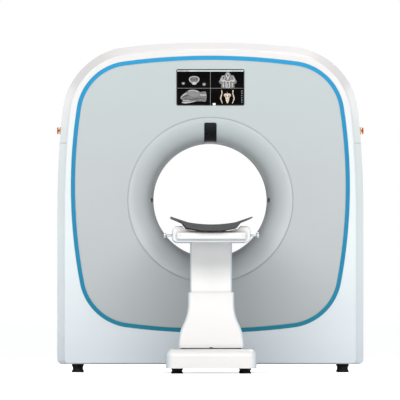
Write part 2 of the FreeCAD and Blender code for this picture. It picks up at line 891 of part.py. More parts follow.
def makeBore():
    depth = "ring_bulge - ring_wall"
    skirt = "ring_outer_radius - ring_wall"
    seat = "face_y + panel_depth"
    back = f"{seat} + ring_wall"
    whole = newBody("ring_whole")
    turned(whole, [
        ("face_y", "ring_outer_radius", "ring_bulge"),
        ("liner_front_y", "bore_radius"),
        ("liner_front_y", "bore_radius + ring_wall", f"-({depth})"),
        (f"liner_front_y - sqrt(({depth})^2 - ring_wall^2)", skirt),
        (back, skirt),
        (back, "ring_outer_radius + ring_flange"),
        (seat, "ring_outer_radius + ring_flange"),
        (seat, "ring_outer_radius"),
    ], "funnel")
    rear = doc.addObject("Part::Mirroring", "bore_ring_rear")
    rear.Label = "bore_ring_rear"
    rear.Source = whole
    rear.Normal = FreeCAD.Vector(0, 1, 0)
    bind(rear, "Base.y", "(face_y + rear_y) / 2")
    keep(checked(rear))

    glazed = newBody("window_ring")
    turned(glazed, [
        ("face_y - window_proud", "ring_outer_radius", "ring_bulge + window_proud"),
        ("liner_front_y", "bore_radius - window_proud"),
        ("liner_front_y", "bore_radius + ring_wall", f"-({depth})"),
        ("face_y + ring_wall", "ring_outer_radius"),
    ], "glazing")
    top = "bore_height + bore_radius + sensor_reach"
    far = "bore_radius + laser_reach"
    spots = {
        "sensor": ("-sensor_width / 2", "sensor_width / 2", "bore_height + bore_radius / 2", top,
                   "sensor_corner"),
        "laser_right": ("bore_radius / 2", far, "bore_height - laser_height / 2",
                        "bore_height + laser_height / 2", "laser_corner"),
        "laser_left": (f"-({far})", "-bore_radius / 2", "bore_height - laser_height / 2",
                       "bore_height + laser_height / 2", "laser_corner"),
    }
    holes = []
    panes = {}
    for word, (left, right, low, high, corner) in spots.items():
        holes.append(windowBlock(f"{word}_hole", f"{left} - fit_gap", f"{right} + fit_gap",
                                 f"{low} - fit_gap", f"{high} + fit_gap", f"{corner} + fit_gap"))
        room = windowBlock(f"{word}_room", left, right, low, high, corner)
        panes[word] = overlap(f"{word}_pane", glazed, room)
    keep(cutAway("bore_ring_front", whole, [joined("window_holes", holes)]))
    panes["sensor"].Label = "sensor_window"
    keep(panes["sensor"])
    keep(group("laser_windows", [panes["laser_left"], panes["laser_right"]]))

    liner = newBody("bore_liner")
    turned(liner, [
        ("liner_front_y", "bore_radius"),
        ("liner_rear_y", "bore_radius"),
        ("liner_rear_y", "bore_radius + liner_wall"),
        ("liner_front_y", "bore_radius + liner_wall"),
    ], "tube")
    keep(liner)


def makeDisplay():
    housing = newBody("display_housing")
    front = "face_y - band_proud"
    floor = f"{front} + glass_depth + fit_gap"

    def frame(inset):
        wide, tall = f"display_width / 2 - ({inset})", f"display_tall / 2 - ({inset})"
        return lambda sketch: roundedBox(
            sketch, f"-({wide})", wide, f"display_height - ({tall})",
            f"display_height + ({tall})", "display_corner")
    slab(housing, frame("0"), "face_y + display_body_depth", front, "case")
    slab(housing, frame("-display_flange"), "face_y + panel_depth + ring_wall",
         "face_y + panel_depth", "flange")
    cutSlab(housing, frame("display_rim"), floor, front, "glass_seat")
    cutSlab(housing, frame("cover_wall"), "face_y + display_body_depth", f"{floor} + cover_wall",
            "hollow")
    keep(housing)
    glass = newBody("display_glass")
    slab(glass, frame("display_rim + fit_gap"), floor, f"{front} + fit_gap", "pane")
    keep(glass)


def makeRearCover():
    body = newBody("rear_cover")
    edge = "rim_width + fit_gap"
    wall = "rim_width + fit_gap + cover_wall"
    inside = "rear_y - panel_depth"
    slab(body, lambda s: archOutline(s, edge, "under_height + face_lift", "face_corner"),
         "rear_y", "rim_rear_y", "tray")
    soften(body, "face_edge", edgesAt("Y", "rear_y"), name="face_round")
    cutSlab(body, lambda s: archOutline(s, wall, "under_height + face_lift + cover_wall", "face_corner"),
            inside, "rim_rear_y", "hollow")
    cutSlab(body, lambda s: circle(s, "0", "bore_height", "panel_hole_radius"),
            "rear_y", inside, "ring_hole")

    def spots(radius):
        def draw(sketch):
            for across, height in screwPlaces():
                circle(sketch, across, height, radius)
        return draw
    slab(body, spots("screw_boss"), inside, "rim_rear_y", "bosses")
    cutSlab(body, spots("screw_shank_radius + fit_gap"), "rear_y", "rim_rear_y", "shank_holes")
    cutSlab(body, spots("screw_radius + fit_gap"), "rear_y", "rear_y - screw_head - fit_gap",
            "head_seats")

    def slots(sketch):
        lines = int(number("guard_lines"))
        for side in (1, -1):
            for line in range(-lines, lines + 1):
                half = f"sqrt((fan_radius - guard_bar / 2)^2 - ({line} * guard_pitch)^2)"
                height = f"fan_height + {line} * guard_pitch"
                plainBox(sketch, f"{side} * fan_offset - {half}", f"{side} * fan_offset + {half}",
                         f"{height} - guard_slot / 2", f"{height} + guard_slot / 2")
    cutSlab(body, slots, "rear_y", inside, "fan_slots")
    cutSlab(body, inletFrame("-fit_gap"), "rear_y", inside, "inlet_hole")
    keep(body)

    screws = []
    for index, (across, height) in enumerate(screwPlaces()):
        head = rod(f"screw_head_{index}", "Y", (across, "rear_y - screw_head - fit_gap", height),
                   "screw_radius", "screw_head")
        shank = rod(f"screw_shank_{index}", "Y",
                    (across, "rear_y - screw_head - fit_gap - screw_length", height),
                    "screw_shank_radius", "screw_length")
        screws.append(joined(f"screw_{index}", [head, shank]))
    keep(group("rear_screws", screws))


def inletFrame(inset):
    wide, tall = f"inlet_width / 2 - ({inset})", f"inlet_tall / 2 - ({inset})"
    return lambda sketch: plainBox(sketch, f"-inlet_offset - ({wide})", f"-inlet_offset + {wide}",
                                   f"inlet_height - ({tall})", f"inlet_height + {tall}")


def makeInlet():
    body = newBody("mains_inlet")
    slab(body, inletFrame("0"), "rear_y", "rear_y - inlet_depth", "case")
    slab(body, inletFrame("-ledge_width"), "rear_y - panel_depth",
         "rear_y - panel_depth - cover_wall", "flange")
    cutSlab(body, inletFrame("ledge_width"), "rear_y", "rear_y - inlet_well", "well")

    def pins(sketch):
        circle(sketch, "-inlet_offset", "inlet_height + inlet_pin_rise", "inlet_pin_radius")
        for side in (1, -1):
            circle(sketch, f"-inlet_offset + {side} * inlet_pin_offset",
                   "inlet_height - inlet_pin_drop", "inlet_pin_radius")
    slab(body, pins, "rear_y - ledge_width", "rear_y - inlet_well", "pins")
    keep(body)


def makeFans():
    frames = []
    for side, word in ((1, "right"), (-1, "left")):
        centre = f"{side} * fan_offset"
        half = "fan_square / 2"
        frame = newBody(f"fan_frame_{word}")
        slab(frame, lambda s: roundedBox(s, f"{centre} - {half}", f"{centre} + {half}",
                                         f"fan_height - {half}", f"fan_height + {half}",
                                         "guard_bar"), "fan_back_y", "fan_front_y", "case")
        cutSlab(frame, lambda s: circle(s, centre, "fan_height", "fan_radius + fan_gap"),
                "fan_back_y", "fan_front_y", "throat")
        slab(frame, lambda s: plainBox(s, f"{centre} - {half}", f"{centre} + {half}",
                                       "fan_height - guard_bar / 2", "fan_height + guard_bar / 2"),
             "fan_front_y + cover_wall", "fan_front_y", "arm")
        slab(frame, lambda s: circle(s, centre, "fan_height", "fan_hub_radius"),
             "fan_front_y + cover_wall", "fan_front_y", "seat")
        frames.append(frame)

        rotor = newBody(f"fan_rotor_{word}")
        length = "fan_depth - 2 * cover_wall"
        slab(rotor, lambda s: circle(s, "0", "0", "fan_hub_radius"), length, "0", "hub")
        blade_plan = sketchOn(rotor, "XY", "fan_hub_radius - fan_blade_root", "blade_plan")
        lean = "fan_hub_radius / 2"
        outline(blade_plan, [
            (f"-({lean})", "fan_gap"), (f"fan_blade_wall - ({lean})", "fan_gap"),
            (lean, f"{length} - fan_gap"), (f"{lean} - fan_blade_wall", f"{length} - fan_gap"),
        ])
        blade = pad(rotor, blade_plan, "fan_radius - fan_hub_radius - fan_gap", "blade")
        axis = rotor.Group[0]
        repeat(rotor, [blade], (axis, ["N_Axis"]), "fan_blade_count", "blades")
        bind(rotor, "Placement.Base.x", centre)
        bind(rotor, "Placement.Base.y", "fan_front_y + cover_wall + fit_gap")
        bind(rotor, "Placement.Base.z", "fan_height")
        keep(rotor)
    keep(group("fan_frames", frames))


def makeStops():
    bases = []
    for turn, side, word in ((90, 1, "right"), (-90, -1, "left")):
        base = newBody(f"stop_base_{word}")
        slab(base, lambda s: circle(s, "0", "0", "stop_collar_radius"), "0",
             "-stop_collar_length", "collar")
        slab(base, lambda s: circle(s, "0", "0", "stop_barrel_radius"), "stop_barrel_length", "0",
             "barrel")
        cutSlab(base, lambda s: circle(s, "0", "0", "stop_stem_radius + run_gap"),
                "stop_barrel_length - cover_wall", "-stop_collar_length", "bore")
        button = newBody(f"stop_button_{word}")
        under = "-stop_collar_length - stop_travel - fit_gap"
        face = f"{under} - stop_head_length"
        slab(button, lambda s: circle(s, "0", "0", "stop_head_radius"), under, face, "head")
        soften(button, "stop_head_length / 2", edgesAt("Y", face), name="head_round")
        stem_end = "stop_barrel_length - cover_wall - stop_travel - fit_gap"
        slab(button, lambda s: circle(s, "0", "0", "stop_stem_radius"), stem_end, under, "stem")
        for piece in (base, button):
            piece.Placement.Rotation = FreeCAD.Rotation(FreeCAD.Vector(0, 0, 1), turn)
            bind(piece, "Placement.Base.x", f"{side} * (stop_seat)")
            bind(piece, "Placement.Base.y", "stop_y")
            bind(piece, "Placement.Base.z", "stop_height")
        bases.append(base)
        keep(button)
    keep(group("stop_bases", bases))


def makeFoot(name, tall, places):
    """One node of identical rubber feet: a waisted spool under each place (x, y)."""
    feet = []
    for index, (across, along) in enumerate(places):
        foot = newBody(f"{name}_{index}")
        sketch = sketchOn(foot, "XZ", "0", "section")
        outline(sketch, [
            ("0", "0"), ("foot_radius", "0"), ("foot_radius", f"foot_rim_share * {tall}"),
            ("foot_waist", f"foot_waist_share * {tall}"),
            ("foot_waist", f"(1 - foot_waist_share) * {tall}"),
            ("foot_radius", f"(1 - foot_rim_share) * {tall}"), ("foot_radius", tall), ("0", tall),
        ])
        spool = foot.newObject("PartDesign::Revolution", "spool")
        spool.Profile = sketch
        spool.ReferenceAxis = (sketch, ["V_Axis"])
        spool.Angle = 360
        checked(spool)
        bind(foot, "Placement.Base.x", across)
        bind(foot, "Placement.Base.y", along)
        feet.append(foot)
    return feet


# The gantry's frame and drive
def openCase(name, sides, mouth):
    """A thin-walled case whose back or low side is open against what carries it."""
    left, right, front, back, low, high = sides
    whole = block(f"{name}_whole", *sides)
    room_back = f"{back} + cut_past" if mouth == "back" else f"{back} - case_wall"
    room_low = f"{low} - cut_past" if mouth == "low" else f"{low} + case_wall"
    room = block(f"{name}_room", f"{left} + case_wall", f"{right} - case_wall",
                 f"{front} + case_wall", room_back, room_low, f"{high} - case_wall")
    return cutAway(name, whole, [room])


def makeFrame():
    frame = newBody("base_frame")
    front, back = "face_y + frame_setback", "rear_y - frame_setback"
    half = "frame_half_width"
    column(frame, lambda s: plainBox(s, f"-({half})", half, front, back), "under_height",
           "frame_top", "plate")

    def windows(sketch):
        edges = [f"-({half}) + frame_rail", "-stand_half_width / 3 - frame_rail / 2",
                 "-stand_half_width / 3 + frame_rail / 2", "stand_half_width / 3 - frame_rail / 2",
                 "stand_half_width / 3 + frame_rail / 2", f"{half} - frame_rail"]
        for left, right in zip(edges[0::2], edges[1::2]):
            plainBox(sketch, left, right, f"{front} + frame_rail", f"{back} - frame_rail")
    cutColumn(frame, windows, "under_height", "frame_top", "windows")
    keep(frame)

    stand = newBody("gantry_stand")
    half, top, bend = "stand_half_width", "stand_top", "stand_corner"
    back = "stand_y + stand_plate"
    slab(stand, lambda s: outline(s, [
        (f"-({half})", "frame_top"), (half, "frame_top"),
        (half, f"{top} - {bend}", bend), (f"{half} - {bend}", top),
        (f"{bend} - {half}", top, bend), (f"-({half})", f"{top} - {bend}"),
    ]), back, "stand_y", "plate")
    cutSlab(stand, lambda s: circle(s, "0", "bore_height", "bearing_split_radius + rotor_space"),
            back, "stand_y", "bearing_seat")
    cutSlab(stand, lambda s: circle(s, "motor_offset", "motor_height", "motor_shaft_radius + shaft_clearance"),
            back, "stand_y", "shaft_hole")
    for word, start in (("left", f"-({half})"), ("right", f"{half} - gusset_plate")):
        side = sketchOn(stand, "YZ", start, f"gusset_{word}_side")
        outline(side, [(back, "frame_top"), (f"{back} + gusset_reach", "frame_top"),
                       (back, "frame_top + gusset_tall")])
        pad(stand, side, "gusset_plate", f"gusset_{word}")
    keep(stand)

    outer = newBody("bearing_outer")
    front = "stand_y - bearing_depth"
    turned(outer, [(front, "bearing_split_radius"), ("stand_y", "bearing_split_radius"),
                   ("stand_y", "bearing_outer_radius"), (front, "bearing_outer_radius")], "race")
    keep(outer)


def makeRotor():
    inner = newBody("bearing_inner")
    split = "bearing_split_radius - run_gap"
    back = "rotor_back_y + bearing_depth"
    turned(inner, [("rotor_back_y", "bearing_inner_radius"), (back, "bearing_inner_radius"),
                   (back, split), ("rotor_back_y", split)], "race")
    keep(inner)

    disc = newBody("rotor_disc")
    slab(disc, lambda s: circle(s, "0", "0", "rotor_radius"), "rotor_back_y", "rotor_front_y",
         "plate")
    cutSlab(disc, lambda s: circle(s, "0", "0", "bearing_inner_radius"), "rotor_back_y",
            "rotor_front_y", "bore")
    hole = cutSlab(disc, lambda s: circle(s, "rotor_hole_circle", "0", "rotor_hole_radius / 2"),
                   "rotor_back_y", "rotor_front_y", "hole")
    repeat(disc, [hole], (disc.Group[0], ["N_Axis"]), "rotor_hole_count", "holes")
    bind(disc, "Placement.Base.z", "bore_height")
    keep(disc)

    pulley = newBody("rotor_pulley")
    near, rim = "pulley_radius - pulley_band", "pulley_radius"
    back = "rotor_back_y + pulley_depth"
    turned(pulley, [("rotor_back_y", near), (back, near), (back, rim), ("rotor_back_y", rim)],
           "band")
    keep(pulley)

    tube = newBody("xray_tube")
    front = "rotor_front_y - tube_length"
    slab(tube, lambda s: circle(s, "0", "focus_height", "tube_radius"), "rotor_front_y", front,
         "housing")
    soften(tube, "tube_radius / 6", edgesAt("Y", front), name="end_round")
    keep(tube)

    top = "focus_height - tube_radius - fit_gap"
    half = "collimator_width / 2"
    body = block("collimator_body", f"-({half})", half, "rotor_front_y - collimator_length",
                 "rotor_front_y", f"{top} - collimator_tall", top)
    centre = "rotor_front_y - collimator_length / 2"
    slot = block("beam_slot", f"beam_slot_end - {half}", f"{half} - beam_slot_end",
                 f"{centre} - beam_slot_half", f"{centre} + beam_slot_half",
                 f"{top} - collimator_tall - cut_past", f"{top} + cut_past")
    keep(cutAway("collimator", body, [slot]))

    detector = newBody("detector_arc")

    def sector(sketch):
        near_x = "detector_focus * sin(detector_half_angle)"
        near_z = "focus_height - detector_focus * cos(detector_half_angle)"
        far_x = "(detector_far) * sin(detector_half_angle)"
        far_z = "focus_height - (detector_far) * cos(detector_half_angle)"
        outline(sketch, [(f"-({far_x})", far_z, "detector_far"), (far_x, far_z),
                         (near_x, near_z, "-(detector_focus)"), (f"-({near_x})", near_z)])
    slab(detector, sector, "rotor_front_y", "rotor_front_y - detector_length", "arc")
    keep(detector)

    front = "rotor_front_y - generator_length"
    keep(openCase("hv_generator", ("-box_far", "-box_near", front, "rotor_front_y",
                                   "bore_height - box_half_tall", "bore_height + box_half_tall"),
                  "back"))

    cooler = newBody("tube_cooler")
    front = "rotor_front_y - cooler_length"
    slab(cooler, lambda s: plainBox(s, "box_near", "box_far", "bore_height - box_half_tall",
                                    "bore_height + box_half_tall"), "rotor_front_y", front, "core")

    def fins(sketch):
        lines = int(number("cooler_fin_lines"))
        for line in range(-lines, lines + 1):
            centre = f"bore_height + {line} * cooler_fin_pitch"
            plainBox(sketch, "box_far - cooler_fin_depth", "box_far + cut_past",
                     f"{centre} - cooler_fin_slot / 2", f"{centre} + cooler_fin_slot / 2")
    cutSlab(cooler, fins, "rotor_front_y", front, "fins")
    keep(cooler)

    weights = []
    for side, word in ((1, "upper"), (-1, "lower")):
        place = ("-weight_orbit * cos(weight_angle)", "rotor_front_y - weight_length",
                 f"bore_height + {side} * weight_orbit * sin(weight_angle)")
        weights.append(rod(f"weight_{word}", "Y", place, "weight_radius", "weight_length"))
    keep(group("counterweights", weights))

    slip = newBody("slip_ring")
    start = "rotor_back_y + bearing_depth"
    turned(slip, [(start, "slip_inner_radius"), ("slip_back_y", "slip_inner_radius"),
                  ("slip_back_y", "slip_radius"), (start, "slip_radius")], "drum")
    keep(slip)

    back = "slip_back_y"
    keep(block("brush_block", "-brush_width / 2", "brush_width / 2", "stand_y + stand_plate", back,
               "bore_height + slip_radius + fit_gap",
               "bore_height + bearing_outer_radius + brush_length / 2"))


def beltLoop(sketch, grow):
    """The belt's path round both pulleys, grown outwards from their rims."""
    big = FreeCAD.Vector(0, number("bore_height"), 0)
    small = FreeCAD.Vector(number("motor_offset"), number("motor_height"), 0)
    wide, tight = number(f"pulley_radius + {grow}"), number(f"motor_pulley_radius + {grow}")
    aim = angleTo(big, small)
    spread = math.acos((wide - tight) / (small - big).Length)
    first, second = aim + spread, aim - spread

    def rim(centre, size, angle):
        return centre + FreeCAD.Vector(math.cos(angle), math.sin(angle), 0) * size
    tangentLoop(sketch, [
        {"centre": big, "size": wide, "angles": (first, second + 2 * math.pi),
         "radius": f"pulley_radius + {grow}", "at": ("0", "bore_height")},
        {"line": (rim(big, wide, second), rim(small, tight, second))},
        {"centre": small, "size": tight, "angles": (second, first),
         "radius": f"motor_pulley_radius + {grow}", "at": ("motor_offset", "motor_height")},
        {"line": (rim(small, tight, first), rim(big, wide, first))},
    ])


def makeDrive():
    belt = newBody("drive_belt")
    back = "belt_front_y + belt_width"
    slab(belt, lambda s: beltLoop(s, "fit_gap + belt_wall"), back, "belt_front_y", "outside")
    cutSlab(belt, lambda s: beltLoop(s, "fit_gap"), back, "belt_front_y", "inside")
    keep(belt)

    place = ("motor_offset", "motor_height")

    def at(radius):
        return lambda sketch: circle(sketch, *place, radius)
    motor = newBody("drive_motor")
    front = "stand_y + stand_plate"
    slab(motor, at("motor_radius"), "motor_rear_y", front, "can")
    soften(motor, "motor_radius / 8", edgesAt("Y", "motor_rear_y"), name="can_round")
    cutSlab(motor, at("motor_shaft_radius + run_gap"), f"{front} + motor_length / 2", front,
            "shaft_bore")
    keep(motor)

    pulley = newBody("motor_pulley")
    slab(pulley, at("motor_pulley_radius"), f"{back} + fit_gap", "belt_front_y - fit_gap", "rim")
    cheek = "motor_pulley_radius + belt_wall"
    slab(pulley, at(cheek), "belt_front_y - fit_gap", "belt_front_y - fit_gap - pulley_cheek",
         "front_cheek")
    slab(pulley, at(cheek), f"{back} + fit_gap + pulley_cheek", f"{back} + fit_gap", "rear_cheek")
    slab(pulley, at("motor_shaft_radius"), f"{front} + motor_length / 2 - shaft_end_gap", back,
         "shaft")
    keep(pulley)


def makeElectrics():
    for name, left, right in (("control_computer", "power_near", "power_far"),
                              ("power_unit", "-power_far", "-power_near")):
        keep(openCase(name, (left, right, "face_y + power_start",
                             "face_y + power_start + power_length", "frame_top",
                             "frame_top + power_tall"), "low"))


def makeGantryFeet():
    ends = ("face_y + foot_setback", "rear_y - foot_setback")
    places = [(f"{side} * foot_spacing", end) for side in (1, -1) for end in ends]
    keep(group("gantry_feet", makeFoot("gantry_foot", "under_height", places)))


# The patient couch
def makeCouchBase():
    """Feet, frame, moulded cover and the flat bar that ties the couch to the gantry."""
    start, end = "couch_base_y", "couch_base_back_y"
    half = "couch_base_half_width"
    ends = (f"{start} + couch_foot_inset", f"{end} - couch_foot_inset")
    places = [(f"{side} * couch_foot_spacing", place) for side in (1, -1) for place in ends]
    feet = []
    for index, spool in enumerate(makeFoot("couch_spool", "couch_foot_height", places)):
        post = rod(f"couch_post_{index}", "Z", (*places[index], "couch_foot_height"),
                   "foot_waist / 2", "couch_frame_height - couch_foot_height")
        feet.append(joined(f"couch_foot_{index}", [spool, post]))
    keep(group("couch_feet", feet))

    frame = newBody("couch_frame")
    inset = "cover_wall + fit_gap"
    column(frame, lambda s: roundedBox(s, f"{inset} - {half}", f"{half} - ({inset})",
                                       f"{start} + {inset}", f"{end} - ({inset})",
                                       f"couch_base_corner - ({inset})"),
           "couch_frame_height", "couch_frame_top", "plate")
    reach = "sleeve_half_length + neck_inset"

    def windows(sketch):
        for near, far in ((f"{start} + 2 * couch_foot_inset", f"column_y - ({reach})"),
                          (f"column_y + {reach}", f"{end} - 2 * couch_foot_inset")):
            plainBox(sketch, f"couch_rail - {half}", f"{half} - couch_rail", near, far)
    cutColumn(frame, windows, "couch_frame_height", "couch_frame_top", "windows")
    keep(frame)

    cover = newBody("couch_base_cover")

    def plan(inset):
        return lambda sketch: roundedBox(sketch, f"{inset} - {half}", f"{half} - {inset}",
                                         f"{start} + {inset}", f"{end} - {inset}",
                                         f"couch_base_corner - {inset}")
    column(cover, plan("0"), "couch_foot_height", "couch_base_top", "outside")
    soften(cover, "couch_base_corner - fit_gap", edgesAt("Z", "couch_base_top"), name="top_round")
    cutColumn(cover, plan("cover_wall"), "couch_foot_height", "couch_frame_top", "inside")
    upper = "couch_base_corner - cover_wall"
    cutColumn(cover, lambda s: plainBox(s, f"{upper} - {half}", f"{half} - ({upper})",
                                        f"{start} + {upper}", f"{end} - ({upper})"),
              "couch_frame_top", "couch_base_top - cover_wall", "inside_top")
    neck, along = "neck_half_width + fit_gap", "sleeve_half_length - neck_inset + fit_gap"
    cutColumn(cover, lambda s: plainBox(s, f"-({neck})", neck, f"column_y - ({along})",
                                        f"column_y + {along}"),
              "couch_frame_top", "couch_base_top", "neck_opening")
    cutSlab(cover, lambda s: plainBox(s, "-beam_half_width - bar_gap", "beam_half_width + bar_gap",
                                      "couch_foot_height", "couch_frame_height + bar_gap"),
            end, f"{end} - 3 * cover_wall", "bar_notch")
    keep(cover)

    keep(block("docking_bar", "-beam_half_width", "beam_half_width", f"{end} - 2 * couch_foot_inset",
               "face_y + frame_setback + frame_rail", "couch_frame_height - beam_tall",
               "couch_frame_height"))


def makeColumn():
    """The lower sleeve with its flared foot, the lift screw, and the column that rises from it."""
    sleeve = newBody("lower_column")
    foot, top = "sleeve_foot_half", "sleeve_top_half"
    middle = ("sleeve_bend_half", "sleeve_bend_height")
    back, front = "column_y + sleeve_half_length", "column_y - sleeve_half_length"
    slab(sleeve, lambda s: outline(s, [
        (f"-{foot}", "sleeve_foot_height"), (foot, "sleeve_foot_height"),
        (foot, "sleeve_bend_low", "sleeve_radius"), (*middle, "-(sleeve_radius)"),
        (top, "sleeve_bend_high"), (top, "sleeve_top_height"),
        (f"-{top}", "sleeve_top_height"), (f"-{top}", "sleeve_bend_high", "-(sleeve_radius)"),
        (f"-({middle[0]})", middle[1], "sleeve_radius"), (f"-{foot}", "sleeve_bend_low"),
    ]), back, front, "flare")
    ends = (edgesAt("Y", back), edgesAt("Y", front))
    levels = (edgesAt("Z", "sleeve_foot_height"), edgesAt("Z", "sleeve_top_height"))
    soften(sleeve, "sleeve_edge",
           lambda edge: any(end(edge) for end in ends) and not any(level(edge) for level in levels),
           name="long_edges")
    neck, along = "neck_half_width", "sleeve_half_length - neck_inset"
    column(sleeve, lambda s: plainBox(s, f"-{neck}", neck, f"column_y - ({along})",
                                      f"column_y + {along}"),
           "couch_frame_top", "sleeve_foot_height", "neck")
    inner, deep = "sleeve_inner_half", "sleeve_inner_length"
    cutColumn(sleeve, lambda s: plainBox(s, f"-({inner})", inner, f"column_y - ({deep})",
                                         f"column_y + {deep}"),
              "couch_frame_top", "sleeve_top_height", "shaft")
    keep(sleeve)

    tube = rod("screw_tube_body", "Z", ("0", "column_y", "couch_frame_top"), "screw_tube_radius",
               "screw_tube_top - couch_frame_top")
    bore = rod("screw_tube_bore", "Z", ("0", "column_y", "couch_frame_top + 2 * cover_wall"),
               "lift_rod_radius + run_gap", "screw_tube_top")
    keep(cutAway("lift_screw_tube", tube, [bore]))
    keep(rod("lift_rod", "Z", ("0", "column_y", "lift_rod_low"), "lift_rod_radius",
             "head_low - column_head_plate - lift_rod_low"))

    post = newBody("upper_column")

    def plan(inset):
        wide, deep = f"column_half_width - {inset}", f"(column_length / 2 - {inset})"
        return lambda sketch: roundedBox(sketch, f"-({wide})", wide, f"column_y - {deep}",
                                         f"column_y + {deep}", f"column_edge - {inset}")
    column(post, plan("0"), "column_low", "head_low", "outside")
    cutColumn(post, plan("cover_wall"), "column_low", "head_low - column_head_plate", "inside")
    keep(post)


def trough(sketch):
    """The hollow along the head in which the cradle's hull lies."""
    over = "head_high + cut_past"
    outline(sketch, [
        ("-trough_keel", "trough_floor"), ("trough_keel", "trough_floor"),
        ("trough_bilge", "trough_bilge_height"), ("trough_mouth", over),
        ("-trough_mouth", over), ("-trough_bilge", "trough_bilge_height"),
    ])


def headOutline(sketch):
    roundedBox(sketch, "-head_half_width", "head_half_width", "head_low", "head_high",
               "head_corner")


def makeHead():
    beam = newBody("head_beam")
    front, back = "head_y + head_cap", "head_back_y - head_cap"
    slab(beam, headOutline, back, front, "profile")
    cutSlab(beam, trough, back, front, "trough")
    cutSlab(beam, lambda s: plainBox(s, "-well_half_width", "well_half_width", "well_floor",
                                     "head_high"), back, front, "well")
    web = "head_low + beam_web"

    def chambers(sketch):
        near, far = "well_half_width + beam_web", "head_half_width - beam_web"
        for left, right in ((near, far), (f"-({far})", f"-({near})")):
            plainBox(sketch, left, right, web, "trough_floor - beam_web / 2")
        plainBox(sketch, "-well_half_width", "well_half_width", web, "well_floor - beam_web")
    cutSlab(beam, chambers, back, front, "chambers")
    holes = [rod("knob_hole_right", "X", ("well_half_width + 2 * beam_web", "knob_y", "knob_height"),
                 "knob_stem_radius + run_gap", "head_half_width"),
             rod("knob_hole_left", "X", ("-2 * head_half_width", "knob_y", "knob_height"),
                 "knob_stem_radius + run_gap",
                 "2 * head_half_width - well_half_width - 2 * beam_web")]
    keep(cutAway("head_housing", beam, [joined("knob_holes", holes)]))

    for name, rear, near in (("head_cap_front", front, "head_y"),
                             ("head_cap_rear", "head_back_y", back)):
        cap = newBody(name)
        slab(cap, headOutline, rear, near, "plate")
        outer = near if name.endswith("front") else rear
        soften(cap, "face_edge", edgesAt("Y", outer), name="edge_round")
        cutSlab(cap, trough, rear, near, "trough")
        keep(cap)

    bar = newBody("end_pad")
    high = "pad_low + pad_tall"
    slab(bar, lambda s: roundedBox(s, "-pad_half_width", "pad_half_width", "pad_low", high,
                                   "pad_edge"), "head_y", "head_y - pad_depth", "bar")
    soften(bar, "pad_edge - fit_gap", edgesAt("Y", "head_y - pad_depth"), name="bar_round")
    keep(bar)

    rails = []
    for side, word in ((1, "right"), (-1, "left")):
        centre = f"{side} * rail_offset"
        rails.append(block(f"rail_{word}", f"{centre} - rail_width / 2",
                           f"{centre} + rail_width / 2", front, back, "well_floor", "rail_top"))
    keep(group("guide_rails", rails))

    for turn, side, word in ((90, 1, "right"), (-90, -1, "left")):
        knob = newBody(f"release_knob_{word}")
        neck = "-knob_stem_length"
        slab(knob, lambda s: circle(s, "0", "0", "knob_stem_radius"), "knob_inside", neck, "stem")
        slab(knob, lambda s: circle(s, "0", "0", "knob_radius"), neck, f"{neck} - knob_length",
             "head")
        soften(knob, "knob_length / 3", rimsOf("knob_radius"), name="head_round")
        knob.Placement.Rotation = FreeCAD.Rotation(FreeCAD.Vector(0, 0, 1), turn)
        bind(knob, "Placement.Base.x", f"{side} * head_half_width")
        bind(knob, "Placement.Base.y", "knob_y")
        bind(knob, "Placement.Base.z", "knob_height")
        keep(knob)


def makeCradle():
    cradle = newBody("cradle")
    keel, bilge, root = "cradle_keel_half", "cradle_bilge_half", "cradle_root_half"
    tip, knee = "cradle_tip_half", "cradle_knee_half"
    slab(cradle, lambda s: outline(s, [
        (f"-{keel}", "cradle_keel_height"), (keel, "cradle_keel_height"),
        (bilge, "cradle_bilge_height"), (root, "cradle_root_height"),
        (tip, "cradle_tip_low"), (tip, "cradle_tip_high"),
        (knee, "cradle_knee_height", "-cradle_bowl_radius"), (f"-{knee}", "cradle_knee_height"),
        (f"-{tip}", "cradle_tip_high"), (f"-{tip}", "cradle_tip_low"),
        (f"-{root}", "cradle_root_height"), (f"-{bilge}", "cradle_bilge_height"),
    ]), "couch_end_y + cradle_length", "couch_end_y", "hull")
    keep(cradle)
    keep(block("carriage", "-carriage_half_width", "carriage_half_width", "carriage_y",
               "carriage_y + carriage_length", "rail_top + run_gap", "cradle_keel_height"))


makeGantryCovers()
makeFrontCover()
makeBandAndPanel()
makeBore()
makeDisplay()
makeRearCover()
makeInlet()
makeFans()
makeStops()
makeFrame()
makeRotor()
makeDrive()
makeElectrics()
makeGantryFeet()
makeCouchBase()
makeColumn()
makeHead()
makeCradle()
doc.recompute()

for thing in doc.Objects:
    if "Invalid" in thing.State or "Error" in thing.State:
        raise RuntimeError(f"{thing.Name} failed: {thing.State}")
os.makedirs("parts", exist_ok=True)
for node in nodes:
    if node.Shape.isNull() or not node.Shape.isValid():
        raise RuntimeError(f"{node.Label} has no valid shape")
    node.Shape.exportStep(f"parts/{node.Label}.step")
    print(node.Label, round(node.Shape.Volume / 1e6, 3), "litres,", len(node.Shape.Solids), "solid(s)")
print(len(nodes), "nodes")
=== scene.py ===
import math

